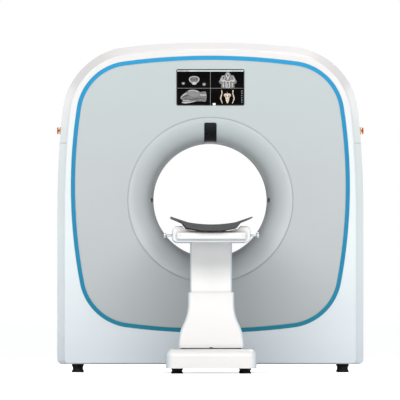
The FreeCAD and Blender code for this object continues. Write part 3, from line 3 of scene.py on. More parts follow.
import bmesh
import bpy
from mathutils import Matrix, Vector


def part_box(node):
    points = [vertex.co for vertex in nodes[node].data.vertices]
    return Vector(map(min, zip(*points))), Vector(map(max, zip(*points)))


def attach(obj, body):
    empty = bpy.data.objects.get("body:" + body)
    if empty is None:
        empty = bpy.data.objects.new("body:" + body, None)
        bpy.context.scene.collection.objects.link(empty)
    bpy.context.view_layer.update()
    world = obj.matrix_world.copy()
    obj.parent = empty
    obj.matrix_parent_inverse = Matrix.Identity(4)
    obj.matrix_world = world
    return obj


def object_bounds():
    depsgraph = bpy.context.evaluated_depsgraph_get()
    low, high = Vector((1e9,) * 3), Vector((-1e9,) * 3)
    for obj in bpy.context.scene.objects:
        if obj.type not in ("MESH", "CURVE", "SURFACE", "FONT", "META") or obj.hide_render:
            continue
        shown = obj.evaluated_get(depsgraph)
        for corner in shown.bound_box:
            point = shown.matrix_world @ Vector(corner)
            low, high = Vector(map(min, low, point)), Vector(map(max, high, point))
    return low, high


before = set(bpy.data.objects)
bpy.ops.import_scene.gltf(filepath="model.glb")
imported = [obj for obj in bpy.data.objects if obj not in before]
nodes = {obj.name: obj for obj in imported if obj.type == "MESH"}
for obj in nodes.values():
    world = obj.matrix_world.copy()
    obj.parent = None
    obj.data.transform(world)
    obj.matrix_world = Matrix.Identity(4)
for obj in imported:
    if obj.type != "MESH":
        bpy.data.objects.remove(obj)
cadLow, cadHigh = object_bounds()
print("frame loaded:", len(nodes), "nodes")


# small helpers for node trees
def feed(tree, socket, value):
    if isinstance(value, bpy.types.NodeSocket):
        tree.links.new(value, socket)
    elif value is not None:
        socket.default_value = value


def maths(tree, operation, *values, clamp=False):
    made = tree.nodes.new("ShaderNodeMath")
    made.operation = operation
    made.use_clamp = clamp
    for socket, value in zip(made.inputs, values):
        feed(tree, socket, value)
    return made.outputs[0]


def vectorMaths(tree, operation, *values):
    made = tree.nodes.new("ShaderNodeVectorMath")
    made.operation = operation
    for socket, value in zip(made.inputs, values):
        feed(tree, socket, value)
    return made.outputs["Value" if operation in ("DOT_PRODUCT", "LENGTH") else "Vector"]


def remap(tree, value, fromLow, fromHigh, toLow=0.0, toHigh=1.0):
    made = tree.nodes.new("ShaderNodeMapRange")
    made.interpolation_type = "SMOOTHSTEP"
    for name, each in (("Value", value), ("From Min", fromLow), ("From Max", fromHigh),
                       ("To Min", toLow), ("To Max", toHigh)):
        feed(tree, made.inputs[name], each)
    return made.outputs["Result"]


def opaque(colour):
    return colour if isinstance(colour, bpy.types.NodeSocket) else (*colour[:3], 1.0)


def mixColours(tree, factor, first, second):
    made = tree.nodes.new("ShaderNodeMix")
    made.data_type = "RGBA"
    feed(tree, made.inputs["Factor"], factor)
    colours = [socket for socket in made.inputs if socket.type == "RGBA"]
    feed(tree, colours[0], opaque(first))
    feed(tree, colours[1], opaque(second))
    return [socket for socket in made.outputs if socket.type == "RGBA"][0]


def colourRamp(tree, factor, stops):
    made = tree.nodes.new("ShaderNodeValToRGB")
    feed(tree, made.inputs["Fac"], factor)
    band = made.color_ramp
    while len(band.elements) < len(stops):
        band.elements.new(0.5)
    for element, (place, colour) in zip(band.elements, stops):
        element.position = place
        element.color = opaque(colour)
    return made.outputs["Color"]


def places(tree):
    # points in the part's own frame, so a pattern travels with its body
    return tree.nodes.new("ShaderNodeTexCoord").outputs["Object"]


def split(tree, vector):
    made = tree.nodes.new("ShaderNodeSeparateXYZ")
    feed(tree, made.inputs[0], vector)
    return made.outputs


def noise(tree, vector, size, detail=2.0, rough=0.5):
    made = tree.nodes.new("ShaderNodeTexNoise")
    feed(tree, made.inputs["Vector"], vector)
    feed(tree, made.inputs["Scale"], size)
    feed(tree, made.inputs["Detail"], detail)
    feed(tree, made.inputs["Roughness"], rough)
    return made.outputs["Fac"]


def startGroup(name, inputs, outputs):
    tree = bpy.data.node_groups.new(name, "ShaderNodeTree")
    for title, start in inputs.items():
        kind = "NodeSocketVector" if isinstance(start, tuple) else "NodeSocketFloat"
        tree.interface.new_socket(title, in_out="INPUT", socket_type=kind).default_value = start
    for title in outputs:
        tree.interface.new_socket(title, in_out="OUTPUT", socket_type="NodeSocketFloat")
    return tree, tree.nodes.new("NodeGroupInput").outputs, tree.nodes.new("NodeGroupOutput").inputs


def place(tree, group, **values):
    made = tree.nodes.new("ShaderNodeGroup")
    made.node_tree = group
    for name, value in values.items():
        feed(tree, made.inputs[name], value)
    return made.outputs


# effects that several finishes share
def makeStandingHeight():
    tree, _, given = startGroup("standingHeight", {}, ["Up"])
    up = split(tree, places(tree))["Z"]
    feed(tree, given["Up"], maths(tree, "DIVIDE", up, cadHigh.z, clamp=True))
    return tree


def makeMouldedSkin():
    # the faint orange peel of a moulded or sprayed skin, and its slow clouding
    tree, wanted, given = startGroup("mouldedSkin", {"peelSize": 420.0, "cloudSize": 3.0}, ["Peel", "Cloud"])
    where = places(tree)
    feed(tree, given["Peel"], noise(tree, where, wanted["peelSize"], detail=1.0, rough=0.4))
    cloud = noise(tree, where, wanted["cloudSize"], detail=1.0, rough=0.4)
    feed(tree, given["Cloud"], remap(tree, cloud, fromLow=0.15, fromHigh=0.85))
    return tree


def makeSeamDust():
    # painted shade: darkening where two pieces meet or a corner closes in, read from ambient occlusion
    tree, wanted, given = startGroup("seamDust", {"reach": 0.03, "falloff": 1.5}, ["Dust"])
    shade = tree.nodes.new("ShaderNodeAmbientOcclusion")
    shade.samples = 8
    feed(tree, shade.inputs["Distance"], wanted["reach"])
    openness = maths(tree, "POWER", shade.outputs["AO"], wanted["falloff"])
    feed(tree, given["Dust"], maths(tree, "SUBTRACT", 1.0, openness, clamp=True))
    return tree


def makeRubbedEdges():
    # a mask along outside edges, broken up by a fine noise: worn paint or metal on most finishes, painted
    # cool edge shade on the couch and column whites
    tree, wanted, given = startGroup("rubbedEdges", {"width": 0.002, "breakUp": 60.0}, ["Rub"])
    rounded = tree.nodes.new("ShaderNodeBevel")
    rounded.samples = 4
    feed(tree, rounded.inputs["Radius"], wanted["width"])
    flat = tree.nodes.new("ShaderNodeNewGeometry").outputs["Normal"]
    turn = vectorMaths(tree, "DOT_PRODUCT", rounded.outputs[0], flat)
    edge = remap(tree, turn, fromLow=0.99, fromHigh=0.90)
    patch = noise(tree, places(tree), wanted["breakUp"], detail=5.0, rough=0.6)
    patch = remap(tree, patch, fromLow=0.42, fromHigh=0.6)
    feed(tree, given["Rub"], maths(tree, "MULTIPLY", edge, patch, clamp=True))
    return tree


def makeToolMarks():
    # long fine scratches, drawn out along the axis with the small scale
    tree, wanted, given = startGroup("toolMarks", {"stretch": (40.0, 40.0, 900.0)}, ["Marks", "Bands"])
    drawn = vectorMaths(tree, "MULTIPLY", places(tree), wanted["stretch"])
    feed(tree, given["Marks"], noise(tree, drawn, size=1.0, detail=3.0, rough=0.65))
    bands = noise(tree, drawn, size=0.12, detail=2.0, rough=0.5)
    feed(tree, given["Bands"], remap(tree, bands, fromLow=0.35, fromHigh=0.65))
    return tree


def makeSpeckle():
    # the small grains of powder coat, cast iron or moulded rubber, with larger flecks over them
    tree, wanted, given = startGroup("speckle", {"grainSize": 900.0, "fleckShare": 0.4}, ["Grain", "Fleck"])
    cells = tree.nodes.new("ShaderNodeTexVoronoi")
    cells.feature = "SMOOTH_F1"
    feed(tree, cells.inputs["Vector"], places(tree))
    feed(tree, cells.inputs["Scale"], wanted["grainSize"])
    feed(tree, given["Grain"], cells.outputs["Distance"])
    fleckSize = maths(tree, "MULTIPLY", wanted["grainSize"], wanted["fleckShare"])
    fleck = noise(tree, places(tree), fleckSize, detail=2.0, rough=0.5)
    feed(tree, given["Fleck"], remap(tree, fleck, fromLow=0.5, fromHigh=0.72))
    return tree


standingHeight = makeStandingHeight()
mouldedSkin = makeMouldedSkin()
seamDust = makeSeamDust()
rubbedEdges = makeRubbedEdges()
toolMarks = makeToolMarks()
speckle = makeSpeckle()
print("shared effects built")


def newFinish(name, **fixed):
    made = bpy.data.materials.new(name)
    made.use_nodes = True
    tree = made.node_tree
    shader = tree.nodes["Principled BSDF"]
    for socket, value in fixed.items():
        shader.inputs[socket.replace("_", " ")].default_value = value
    return made, tree, shader.inputs


def raised(tree, height, strength, depth):
    made = tree.nodes.new("ShaderNodeBump")
    made.inputs["Strength"].default_value = strength
    made.inputs["Distance"].default_value = depth
    feed(tree, made.inputs["Height"], height)
    return made.outputs["Normal"]


def markedGloss(tree, marks, smoothest, roughest):
    # roughness along fine marks, whose noise keeps to the middle of its range
    return remap(tree, marks, fromLow=0.3, fromHigh=0.7, toLow=smoothest, toHigh=roughest)


def paintedFinish(name, look):
    # moulded plastic and painted metal: painted light and shade by height, clouding, painted shade in seams,
    # worn edges on some finishes and painted edge shade on others, painted shade on the sides, and peel
    made, tree, sockets = newFinish(
        name, IOR=1.48, Coat_Weight=look.get("coat", 0.0),
        Coat_Roughness=0.08, Specular_IOR_Level=look.get("shine", 0.5))
    skin = place(tree, mouldedSkin, peelSize=look.get("peelSize"), cloudSize=look["cloudSize"])
    # painted light and shade by height: the colour steps with height to stand in for how the light falls
    if "stops" in look:
        colour = colourRamp(tree, place(tree, standingHeight)["Up"], look["stops"])
        colour = mixColours(tree, maths(tree, "MULTIPLY", skin["Cloud"], look["cloud"]),
                            colour, look["cloudColour"])
    else:
        colour = mixColours(tree, skin["Cloud"], look["colour"], look["cloudColour"])
    # painted shade in seams and corners
    dust = place(tree, seamDust, reach=look.get("seamShadeReach", 0.03))["Dust"]
    colour = mixColours(tree, maths(tree, "MULTIPLY", dust, look["dust"]), colour, look["seamShadeColour"])
    # along outside edges: worn paint on some finishes, painted cool edge shade on the couch and column whites
    if "rub" in look:
        rub = place(tree, rubbedEdges, width=look.get("rubWidth", 0.0025))["Rub"]
        colour = mixColours(tree, maths(tree, "MULTIPLY", rub, look["rub"]), colour, look["rubColour"])
    if "sideShadeColour" in look:
        # painted shade: a cooler, darker colour where the skin turns to the sides or underneath
        turn = split(tree, tree.nodes.new("ShaderNodeTexCoord").outputs["Normal"])
        sideShadeShare = maths(tree, "MAXIMUM", maths(tree, "ABSOLUTE", turn["X"]),
                     maths(tree, "MULTIPLY", turn["Z"], -1.0))
        colour = mixColours(tree, remap(tree, sideShadeShare, fromLow=0.25, fromHigh=0.95), colour, look["sideShadeColour"])
    feed(tree, sockets["Base Color"], colour)
    feed(tree, sockets["Roughness"], remap(tree, skin["Cloud"], 0.0, 1.0, *look["roughness"]))
    # a grained finish has its grains in place of the peel
    height = skin["Peel"]
    if "grainSize" in look:
        height = place(tree, speckle, grainSize=look["grainSize"])["Grain"]
    feed(tree, sockets["Normal"], raised(tree, height, look["peel"], look["peelDepth"]))
    return made


# painted light and shade by height: warm white high up, cooler and darker low down
whiteCover = {
    "stops": [(0.0, (0.60, 0.655, 0.69)), (0.12, (0.665, 0.72, 0.76)), (0.40, (0.715, 0.78, 0.79)),
              (0.70, (0.72, 0.765, 0.77)), (0.86, (0.715, 0.71, 0.705)), (1.0, (0.685, 0.665, 0.655))],
    "cloud": 0.05, "cloudColour": (0.70, 0.74, 0.78), "cloudSize": 1.6,
    "dust": 0.55, "seamShadeColour": (0.30, 0.32, 0.34), "seamShadeReach": 0.02,
    "rub": 0.35, "rubColour": (0.90, 0.91, 0.92), "rubWidth": 0.003,
    "roughness": (0.29, 0.34), "coat": 0.25, "peelSize": 380.0, "peel": 0.10, "peelDepth": 0.0006,
}
couchWhite = {
    "colour": (0.70, 0.685, 0.675), "cloudColour": (0.69, 0.68, 0.675), "cloudSize": 5.0,
    # painted shade: a cooler, darker colour on the sides and undersides, and a pale blue edge shade
    "sideShadeColour": (0.50, 0.59, 0.64),
    "dust": 0.5, "seamShadeColour": (0.30, 0.31, 0.33), "seamShadeReach": 0.012,
    "rub": 0.5, "rubColour": (0.66, 0.76, 0.83), "rubWidth": 0.004,
    "roughness": (0.28, 0.38), "coat": 0.2, "peelSize": 420.0, "peel": 0.10, "peelDepth": 0.0005,
}
whiteMetal = {
    # painted light: a brighter white than the other whites, offsetting the shade under the couch head
    "colour": (0.92, 0.90, 0.885), "cloudColour": (0.90, 0.88, 0.87), "cloudSize": 4.0,
    # painted shade: a cooler, darker colour on the sides and undersides, and a pale blue edge shade
    "sideShadeColour": (0.52, 0.61, 0.66),
    "dust": 0.4, "seamShadeColour": (0.30, 0.29, 0.28), "seamShadeReach": 0.05,
    "rub": 0.3, "rubColour": (0.62, 0.72, 0.80), "rubWidth": 0.003,
    "roughness": (0.30, 0.42), "coat": 0.2, "peelSize": 520.0, "peel": 0.10, "peelDepth": 0.0004,
}
whiteCast = {
    "colour": (0.745, 0.73, 0.72), "cloudColour": (0.735, 0.725, 0.72), "cloudSize": 5.0,
    # painted shade: a cooler, darker colour on the sides and undersides, and a pale blue edge shade
    "sideShadeColour": (0.50, 0.59, 0.64),
    "dust": 0.5, "seamShadeColour": (0.30, 0.29, 0.28), "seamShadeReach": 0.03,
    "rub": 0.3, "rubColour": (0.70, 0.78, 0.82), "rubWidth": 0.003,
    "roughness": (0.28, 0.40), "coat": 0.2, "peelSize": 460.0, "peel": 0.12, "peelDepth": 0.0005,
}
# painted light and shade by height: darker towards the bottom, where the couch shades the panel
greyPanel = {
    "stops": [(0.0, (0.37, 0.40, 0.41)), (0.20, (0.42, 0.45, 0.455)), (0.38, (0.44, 0.465, 0.475)),
              (0.56, (0.46, 0.49, 0.50)), (0.80, (0.445, 0.50, 0.505)), (0.96, (0.44, 0.50, 0.505))],
    "cloud": 0.08, "cloudColour": (0.50, 0.55, 0.62), "cloudSize": 2.6,
    "dust": 0.35, "seamShadeColour": (0.20, 0.21, 0.22), "seamShadeReach": 0.008,
    "roughness": (0.34, 0.44), "coat": 0.1, "peelSize": 700.0, "peel": 0.08, "peelDepth": 0.0003,
}
# painted light and shade by height: bright blue high up, darker teal low down
blueTrim = {
    "stops": [(0.10, (0.008, 0.205, 0.270)), (0.30, (0.008, 0.215, 0.36)), (0.60, (0.008, 0.23, 0.42)),
              (0.80, (0.007, 0.26, 0.49)), (0.96, (0.008, 0.30, 0.57))],
    "cloud": 0.15, "cloudColour": (0.03, 0.30, 0.60), "cloudSize": 6.0,
    "dust": 0.5, "seamShadeColour": (0.01, 0.07, 0.12), "seamShadeReach": 0.006,
    "rub": 0.2, "rubColour": (0.06, 0.36, 0.66), "rubWidth": 0.0006,
    "roughness": (0.30, 0.40), "coat": 0.06, "shine": 0.15,
    "peelSize": 500.0, "peel": 0.06, "peelDepth": 0.0002,
}
blackCase = {
    "colour": (0.022, 0.022, 0.023), "cloudColour": (0.032, 0.032, 0.034), "cloudSize": 12.0,
    "dust": 0.35, "seamShadeColour": (0.09, 0.085, 0.08), "rub": 0.5, "rubColour": (0.10, 0.10, 0.105),
    "rubWidth": 0.0012, "roughness": (0.42, 0.56), "grainSize": 1400.0, "peel": 0.35, "peelDepth": 0.0003,
}
framePaint = {
    "colour": (0.080, 0.088, 0.095), "cloudColour": (0.11, 0.12, 0.125), "cloudSize": 7.0,
    "dust": 0.4, "seamShadeColour": (0.16, 0.145, 0.13), "rub": 0.7, "rubColour": (0.42, 0.43, 0.44),
    "roughness": (0.40, 0.55), "grainSize": 900.0, "peel": 0.3, "peelDepth": 0.0004,
}
casePaint = {
    "colour": (0.50, 0.52, 0.52), "cloudColour": (0.56, 0.57, 0.57), "cloudSize": 6.0,
    "dust": 0.5, "seamShadeColour": (0.22, 0.21, 0.20), "rub": 0.5, "rubColour": (0.70, 0.71, 0.72),
    "roughness": (0.38, 0.50), "grainSize": 1000.0, "peel": 0.25, "peelDepth": 0.0003,
}
yellowCollar = {
    "colour": (0.78, 0.52, 0.03), "cloudColour": (0.70, 0.45, 0.02), "cloudSize": 30.0,
    "dust": 0.5, "seamShadeColour": (0.25, 0.16, 0.02), "seamShadeReach": 0.006, "rub": 0.4,
    "rubColour": (0.90, 0.66, 0.10), "rubWidth": 0.0008, "roughness": (0.34, 0.42), "coat": 0.08,
    "shine": 0.2, "peelSize": 900.0, "peel": 0.1, "peelDepth": 0.0002,
}
redButton = {
    "colour": (0.72, 0.012, 0.022), "cloudColour": (0.62, 0.010, 0.018), "cloudSize": 30.0,
    "dust": 0.5, "seamShadeColour": (0.16, 0.004, 0.006), "seamShadeReach": 0.006, "rub": 0.4,
    "rubColour": (0.85, 0.06, 0.05), "rubWidth": 0.0008, "roughness": (0.32, 0.40), "coat": 0.08,
    "shine": 0.2, "peelSize": 900.0, "peel": 0.1, "peelDepth": 0.0002,
}
footRubber = {
    "colour": (0.014, 0.013, 0.013), "cloudColour": (0.022, 0.021, 0.020), "cloudSize": 18.0,
    "dust": 0.15, "seamShadeColour": (0.03, 0.028, 0.026), "rub": 0.4, "rubColour": (0.030, 0.029, 0.028),
    "rubWidth": 0.002, "shine": 0.1, "roughness": (0.55, 0.75), "grainSize": 800.0, "peel": 0.4,
    "peelDepth": 0.0004,
}
beltRubber = {
    "colour": (0.020, 0.020, 0.021), "cloudColour": (0.034, 0.033, 0.032), "cloudSize": 14.0,
    "dust": 0.3, "seamShadeColour": (0.06, 0.06, 0.055), "rub": 0.5, "rubColour": (0.09, 0.09, 0.09),
    "roughness": (0.60, 0.80), "grainSize": 600.0, "peel": 0.5, "peelDepth": 0.0005,
}


def metalFinish(name, look):
    made, tree, sockets = newFinish(name, Metallic=look.get("metallic", 1.0))
    marks = place(tree, toolMarks, stretch=look["stretch"])
    grain = place(tree, speckle, grainSize=look.get("grainSize", 900.0))
    colour = mixColours(tree, marks["Bands"], look["colour"], look["bandColour"])
    colour = mixColours(tree, maths(tree, "MULTIPLY", grain["Fleck"], look["fleck"]),
                        colour, look["fleckColour"])
    # painted shade in seams and corners
    dust = place(tree, seamDust, reach=0.012)["Dust"]
    colour = mixColours(tree, maths(tree, "MULTIPLY", dust, look["dust"]), colour, look["seamShadeColour"])
    rub = place(tree, rubbedEdges, width=0.0015)["Rub"]
    colour = mixColours(tree, maths(tree, "MULTIPLY", rub, look["rub"]), colour, look["rubColour"])
    feed(tree, sockets["Base Color"], colour)
    feed(tree, sockets["Roughness"], markedGloss(tree, marks["Marks"], *look["roughness"]))
    height = maths(tree, "MULTIPLY", marks["Marks"], look["markShare"])
    height = maths(tree, "MULTIPLY_ADD", grain["Grain"], 1 - look["markShare"], height)
    feed(tree, sockets["Normal"], raised(tree, height, look["bump"], look["depth"]))
    return made


steel = {
    "colour": (0.50, 0.51, 0.52), "bandColour": (0.58, 0.585, 0.59), "fleck": 0.15,
    "fleckColour": (0.35, 0.34, 0.33), "dust": 0.6, "seamShadeColour": (0.10, 0.09, 0.08),
    "rub": 0.6, "rubColour": (0.80, 0.81, 0.82), "stretch": (900.0, 30.0, 900.0), "roughness": (0.20, 0.36),
    "markShare": 0.8, "bump": 0.15, "depth": 0.0002,
}
knobMetal = {
    "metallic": 0.75, "colour": (0.50, 0.54, 0.57), "bandColour": (0.56, 0.60, 0.62), "fleck": 0.05,
    "fleckColour": (0.60, 0.60, 0.60), "dust": 0.6, "seamShadeColour": (0.30, 0.30, 0.30),
    "rub": 0.6, "rubColour": (0.70, 0.72, 0.74), "stretch": (20.0, 500.0, 500.0), "roughness": (0.34, 0.44),
    "markShare": 0.9, "bump": 0.05, "depth": 0.0001,
}
alloy = {
    "colour": (0.60, 0.61, 0.62), "bandColour": (0.68, 0.685, 0.69), "fleck": 0.12,
    "fleckColour": (0.48, 0.48, 0.48), "dust": 0.5, "seamShadeColour": (0.16, 0.15, 0.14),
    "rub": 0.6, "rubColour": (0.86, 0.87, 0.88), "stretch": (700.0, 700.0, 25.0), "roughness": (0.28, 0.44),
    "markShare": 0.7, "bump": 0.18, "depth": 0.0003,
}
iron = {
    "colour": (0.16, 0.16, 0.165), "bandColour": (0.20, 0.195, 0.19), "fleck": 0.4,
    "fleckColour": (0.22, 0.15, 0.10), "dust": 0.5, "seamShadeColour": (0.06, 0.05, 0.045),
    "rub": 0.6, "rubColour": (0.45, 0.45, 0.45), "stretch": (60.0, 60.0, 60.0), "roughness": (0.50, 0.72),
    "grainSize": 350.0, "markShare": 0.2, "bump": 0.6, "depth": 0.0008,
}

# painted shade darkens the ring towards the lip, and the panel's silver is lifted as painted light
ringShade = {
    "lipRadius": 0.285, "openRadius": 0.405, "lipShadeColour": (0.20, 0.21, 0.215), "strength": 0.50,
    "curve": 4.0, "lighten": 1.10,
}


def ringFinish(name, look):
    # the silver finish of the panel, lifted a little as painted light, with painted shade deepening towards
    # the mouth of the tunnel
    made = paintedFinish(name, {**greyPanel, "stops": [
        (at, tuple(look["lighten"] * each for each in colour)) for at, colour in greyPanel["stops"]]})
    tree = made.node_tree
    sockets = tree.nodes["Principled BSDF"].inputs
    silver = sockets["Base Color"].links[0].from_socket
    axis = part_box("bore_liner")
    middle = (axis[0] + axis[1]) / 2
    reach = vectorMaths(tree, "SUBTRACT", places(tree), (middle.x, 0.0, middle.z))
    reach = vectorMaths(tree, "MULTIPLY", reach, (1.0, 0.0, 1.0))
    radius = vectorMaths(tree, "LENGTH", reach)
    lipShade = maths(tree, "SUBTRACT", look["openRadius"], radius)
    lipShade = maths(tree, "DIVIDE", lipShade, look["openRadius"] - look["lipRadius"], clamp=True)
    lipShade = maths(tree, "MULTIPLY", maths(tree, "POWER", lipShade, look["curve"]), look["strength"])
    feed(tree, sockets["Base Color"], mixColours(tree, lipShade, silver, look["lipShadeColour"]))
    return made


liner = {
    "colour": (0.34, 0.36, 0.37), "cloudColour": (0.30, 0.32, 0.33), "stretch": (8.0, 260.0, 8.0),
    "roughness": (0.50, 0.64), "bump": 0.08, "depth": 0.0002,
}


def linerFinish(name, look):
    # milky sheet with the faint rings left by rolling it
    made, tree, sockets = newFinish(name, IOR=1.12)
    marks = place(tree, toolMarks, stretch=look["stretch"])
    feed(tree, sockets["Base Color"], mixColours(tree, marks["Bands"], look["colour"], look["cloudColour"]))
    feed(tree, sockets["Roughness"], markedGloss(tree, marks["Marks"], *look["roughness"]))
    feed(tree, sockets["Normal"], raised(tree, marks["Marks"], look["bump"], look["depth"]))
    return made


darkWindow = {
    "top": (0.018, 0.021, 0.024), "bottom": (0.003, 0.003, 0.003), "speck": (0.012, 0.012, 0.013),
    "speckShare": 0.3, "peelSize": 300.0, "cloudSize": 25.0, "roughness": (0.10, 0.18), "peel": 0.03,
    "peelDepth": 0.0001,
}


def windowFinish(name, look):
    # smoked gloss with painted light that lightens it towards the top of the upper window
    made, tree, sockets = newFinish(name, Coat_Weight=0.2, Coat_Roughness=0.05, IOR=1.35)
    low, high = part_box("sensor_window")
    up = split(tree, places(tree))["Z"]
    share = remap(tree, up, low.z, high.z)
    skin = place(tree, mouldedSkin, peelSize=look["peelSize"], cloudSize=look["cloudSize"])
    colour = mixColours(tree, share, look["bottom"], look["top"])
    specks = maths(tree, "MULTIPLY", skin["Cloud"], look["speckShare"])
    feed(tree, sockets["Base Color"], mixColours(tree, specks, colour, look["speck"]))
    feed(tree, sockets["Roughness"], remap(tree, skin["Cloud"], 0.0, 1.0, *look["roughness"]))
    feed(tree, sockets["Normal"], raised(tree, skin["Peel"], look["peel"], look["peelDepth"]))
    return made


displayPane = {
    "colour": (0.002, 0.002, 0.002), "smear": (0.004, 0.004, 0.0045), "stretch": (30.0, 30.0, 140.0),
    "roughness": (0.07, 0.12),
}


def paneFinish(name, look):
    # dark glass with the faint smears that cleaning leaves
    made, tree, sockets = newFinish(name, Coat_Weight=0.02, Coat_Roughness=0.04, Specular_IOR_Level=0.03)
    marks = place(tree, toolMarks, stretch=look["stretch"])
    feed(tree, sockets["Base Color"], mixColours(tree, marks["Bands"], look["colour"], look["smear"]))
    feed(tree, sockets["Roughness"], markedGloss(tree, marks["Marks"], *look["roughness"]))
    return made


slipRing = {
    "resin": (0.22, 0.10, 0.05), "brass": (0.72, 0.52, 0.22), "bandColour": (0.60, 0.42, 0.18),
    "tracks": 5.0, "trackShare": 0.55, "trackEdge": 0.06, "stretch": (6.0, 1400.0, 6.0),
    "roughness": (0.24, 0.40), "bump": 0.4, "depth": 0.0005,
}


def slipFinish(name, look):
    # brass tracks let into a brown resin ring
    made, tree, sockets = newFinish(name)
    low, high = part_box("slip_ring")
    along = split(tree, places(tree))["Y"]
    share = maths(tree, "DIVIDE", maths(tree, "SUBTRACT", along, low.y), high.y - low.y, clamp=True)
    beat = maths(tree, "FRACT", maths(tree, "MULTIPLY", share, look["tracks"]))
    half = look["trackShare"] / 2
    track = remap(tree, maths(tree, "ABSOLUTE", maths(tree, "SUBTRACT", beat, 0.5)),
                  half, half - look["trackEdge"])
    marks = place(tree, toolMarks, stretch=look["stretch"])
    brass = mixColours(tree, marks["Bands"], look["brass"], look["bandColour"])
    feed(tree, sockets["Base Color"], mixColours(tree, track, look["resin"], brass))
    feed(tree, sockets["Metallic"], track)
    feed(tree, sockets["Roughness"], markedGloss(tree, marks["Marks"], *look["roughness"]))
    feed(tree, sockets["Normal"], raised(tree, track, look["bump"], look["depth"]))
    return made


carbon = {
    "towWidth": 0.0032, "warp": (0.026, 0.028, 0.029), "weft": (0.048, 0.052, 0.053),
    "seam": (0.016, 0.017, 0.018), "lacquer": 0.15, "acrossRise": 1.3, "alongRise": 0.9, "repeat": 4.0,
    "crown": (0.5, 0.1), "fibre": (0.17, 0.18, 0.185), "fibreShare": 0.35, "stretch": (1800.0, 60.0, 60.0),
    "roughness": (0.34, 0.50), "bump": 0.35, "depth": 0.0005,
}


def carbonFinish(name, look):
    # two by two twill under a satin lacquer, laid along the cradle and round its hull
    made, tree, sockets = newFinish(
        name, Coat_Weight=look["lacquer"], Coat_Roughness=0.22, Specular_IOR_Level=0.25)
    part = split(tree, places(tree))

    def tows(axis, rise):
        climbed = maths(tree, "ADD", part[axis], maths(tree, "MULTIPLY", part["Z"], rise))
        return maths(tree, "DIVIDE", climbed, look["towWidth"])

    def offMiddle(count):
        return maths(tree, "ABSOLUTE", maths(tree, "SUBTRACT", maths(tree, "FRACT", count), 0.5))

    across, along = tows("X", look["acrossRise"]), tows("Y", look["alongRise"])
    step = maths(tree, "ADD", maths(tree, "FLOOR", across), maths(tree, "FLOOR", along))
    over = maths(tree, "LESS_THAN", maths(tree, "FLOORED_MODULO", step, look["repeat"]), look["repeat"] / 2)
    lane = tree.nodes.new("ShaderNodeMix")
    feed(tree, lane.inputs["Factor"], over)
    feed(tree, lane.inputs["A"], offMiddle(along))
    feed(tree, lane.inputs["B"], offMiddle(across))
    crown = remap(tree, lane.outputs["Result"], *look["crown"])
    colour = mixColours(tree, over, look["weft"], look["warp"])
    fibres = place(tree, toolMarks, stretch=look["stretch"])["Marks"]
    colour = mixColours(tree, maths(tree, "MULTIPLY", fibres, look["fibreShare"]), colour, look["fibre"])
    feed(tree, sockets["Base Color"], mixColours(tree, crown, look["seam"], colour))
    feed(tree, sockets["Roughness"], markedGloss(tree, fibres, *look["roughness"]))
    feed(tree, sockets["Normal"], raised(tree, crown, look["bump"], look["depth"]))
    return made


finishes = {
    "white_cover": paintedFinish("whiteCover", whiteCover),
    "white_metal": paintedFinish("whiteMetal", whiteMetal),
    "white_cast": paintedFinish("whiteCast", whiteCast),
    "grey_panel": paintedFinish("silverPanel", greyPanel),
    "blue_trim": paintedFinish("blueTrim", blueTrim),
    "black_case": paintedFinish("blackCase", blackCase),
    "frame_paint": paintedFinish("framePaint", framePaint),
    "case_paint": paintedFinish("casePaint", casePaint),
    "yellow_collar": paintedFinish("yellowCollar", yellowCollar),
    "red_button": paintedFinish("redButton", redButton),
    "foot_rubber": paintedFinish("footRubber", footRubber),
    "belt_rubber": paintedFinish("beltRubber", beltRubber),
    "steel": metalFinish("groundSteel", steel),
    "knob_metal": metalFinish("brightPlate", knobMetal),
    "alloy": metalFinish("millAlloy", alloy),
    "iron": metalFinish("castIron", iron),
    "clear_liner": linerFinish("milkyLiner", liner),
    "dark_window": windowFinish("smokedWindow", darkWindow),
    "display_pane": paneFinish("darkPane", displayPane),
    "slip_resin": slipFinish("slipTracks", slipRing),
    "carbon": carbonFinish("carbonTwill", carbon),
}
shadedRingSilver = ringFinish("shadedRingSilver", ringShade)
couchPaint = paintedFinish("couchWhite", couchWhite)
ownFinishes = {"bore_ring_front": shadedRingSilver, "bore_ring_rear": shadedRingSilver}
for nodeName in ("couch_base_cover", "head_cap_front", "head_cap_rear", "end_pad"):
    ownFinishes[nodeName] = couchPaint
for nodeName, node in nodes.items():
    for slot in node.material_slots:
        slot.material = ownFinishes.get(nodeName) or finishes[slot.material.name.split(".")[0]]
print("finishes on", len(nodes), "nodes")


def linkPiece(name, shape, finish, body):
    bmesh.ops.recalc_face_normals(shape, faces=shape.faces[:])
    mesh = bpy.data.meshes.new(name)
    shape.to_mesh(mesh)
    shape.free()
    mesh.materials.append(finish)
    piece = bpy.data.objects.new(name, mesh)
    bpy.context.scene.collection.objects.link(piece)
    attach(piece, body)


# dark seal in the joint between the couch's sleeve and its base cover
footSeal = {
    "middleY": -0.410, "low": 0.1215, "high": 0.1256, "outer": (0.150, 0.2150), "outerCorner": 0.045,
    "inner": (0.1285, 0.2088), "innerCorner": 0.030, "steps": 10, "tabHalf": 0.010, "tabTop": 0.1290,
    "tabFront": -0.6335, "tabBack": -0.6260, "tabTaper": 0.7,
}


def roundedLoop(half, corner, steps):
    found = []
    for turn in range(4):
        signX, signY = ((1, 1), (-1, 1), (-1, -1), (1, -1))[turn]
        for k in range(steps + 1):
            angle = (turn + k / steps) * math.pi / 2
            found.append((signX * (half[0] - corner) + corner * math.cos(angle),
                          signY * (half[1] - corner) + corner * math.sin(angle)))
    return found


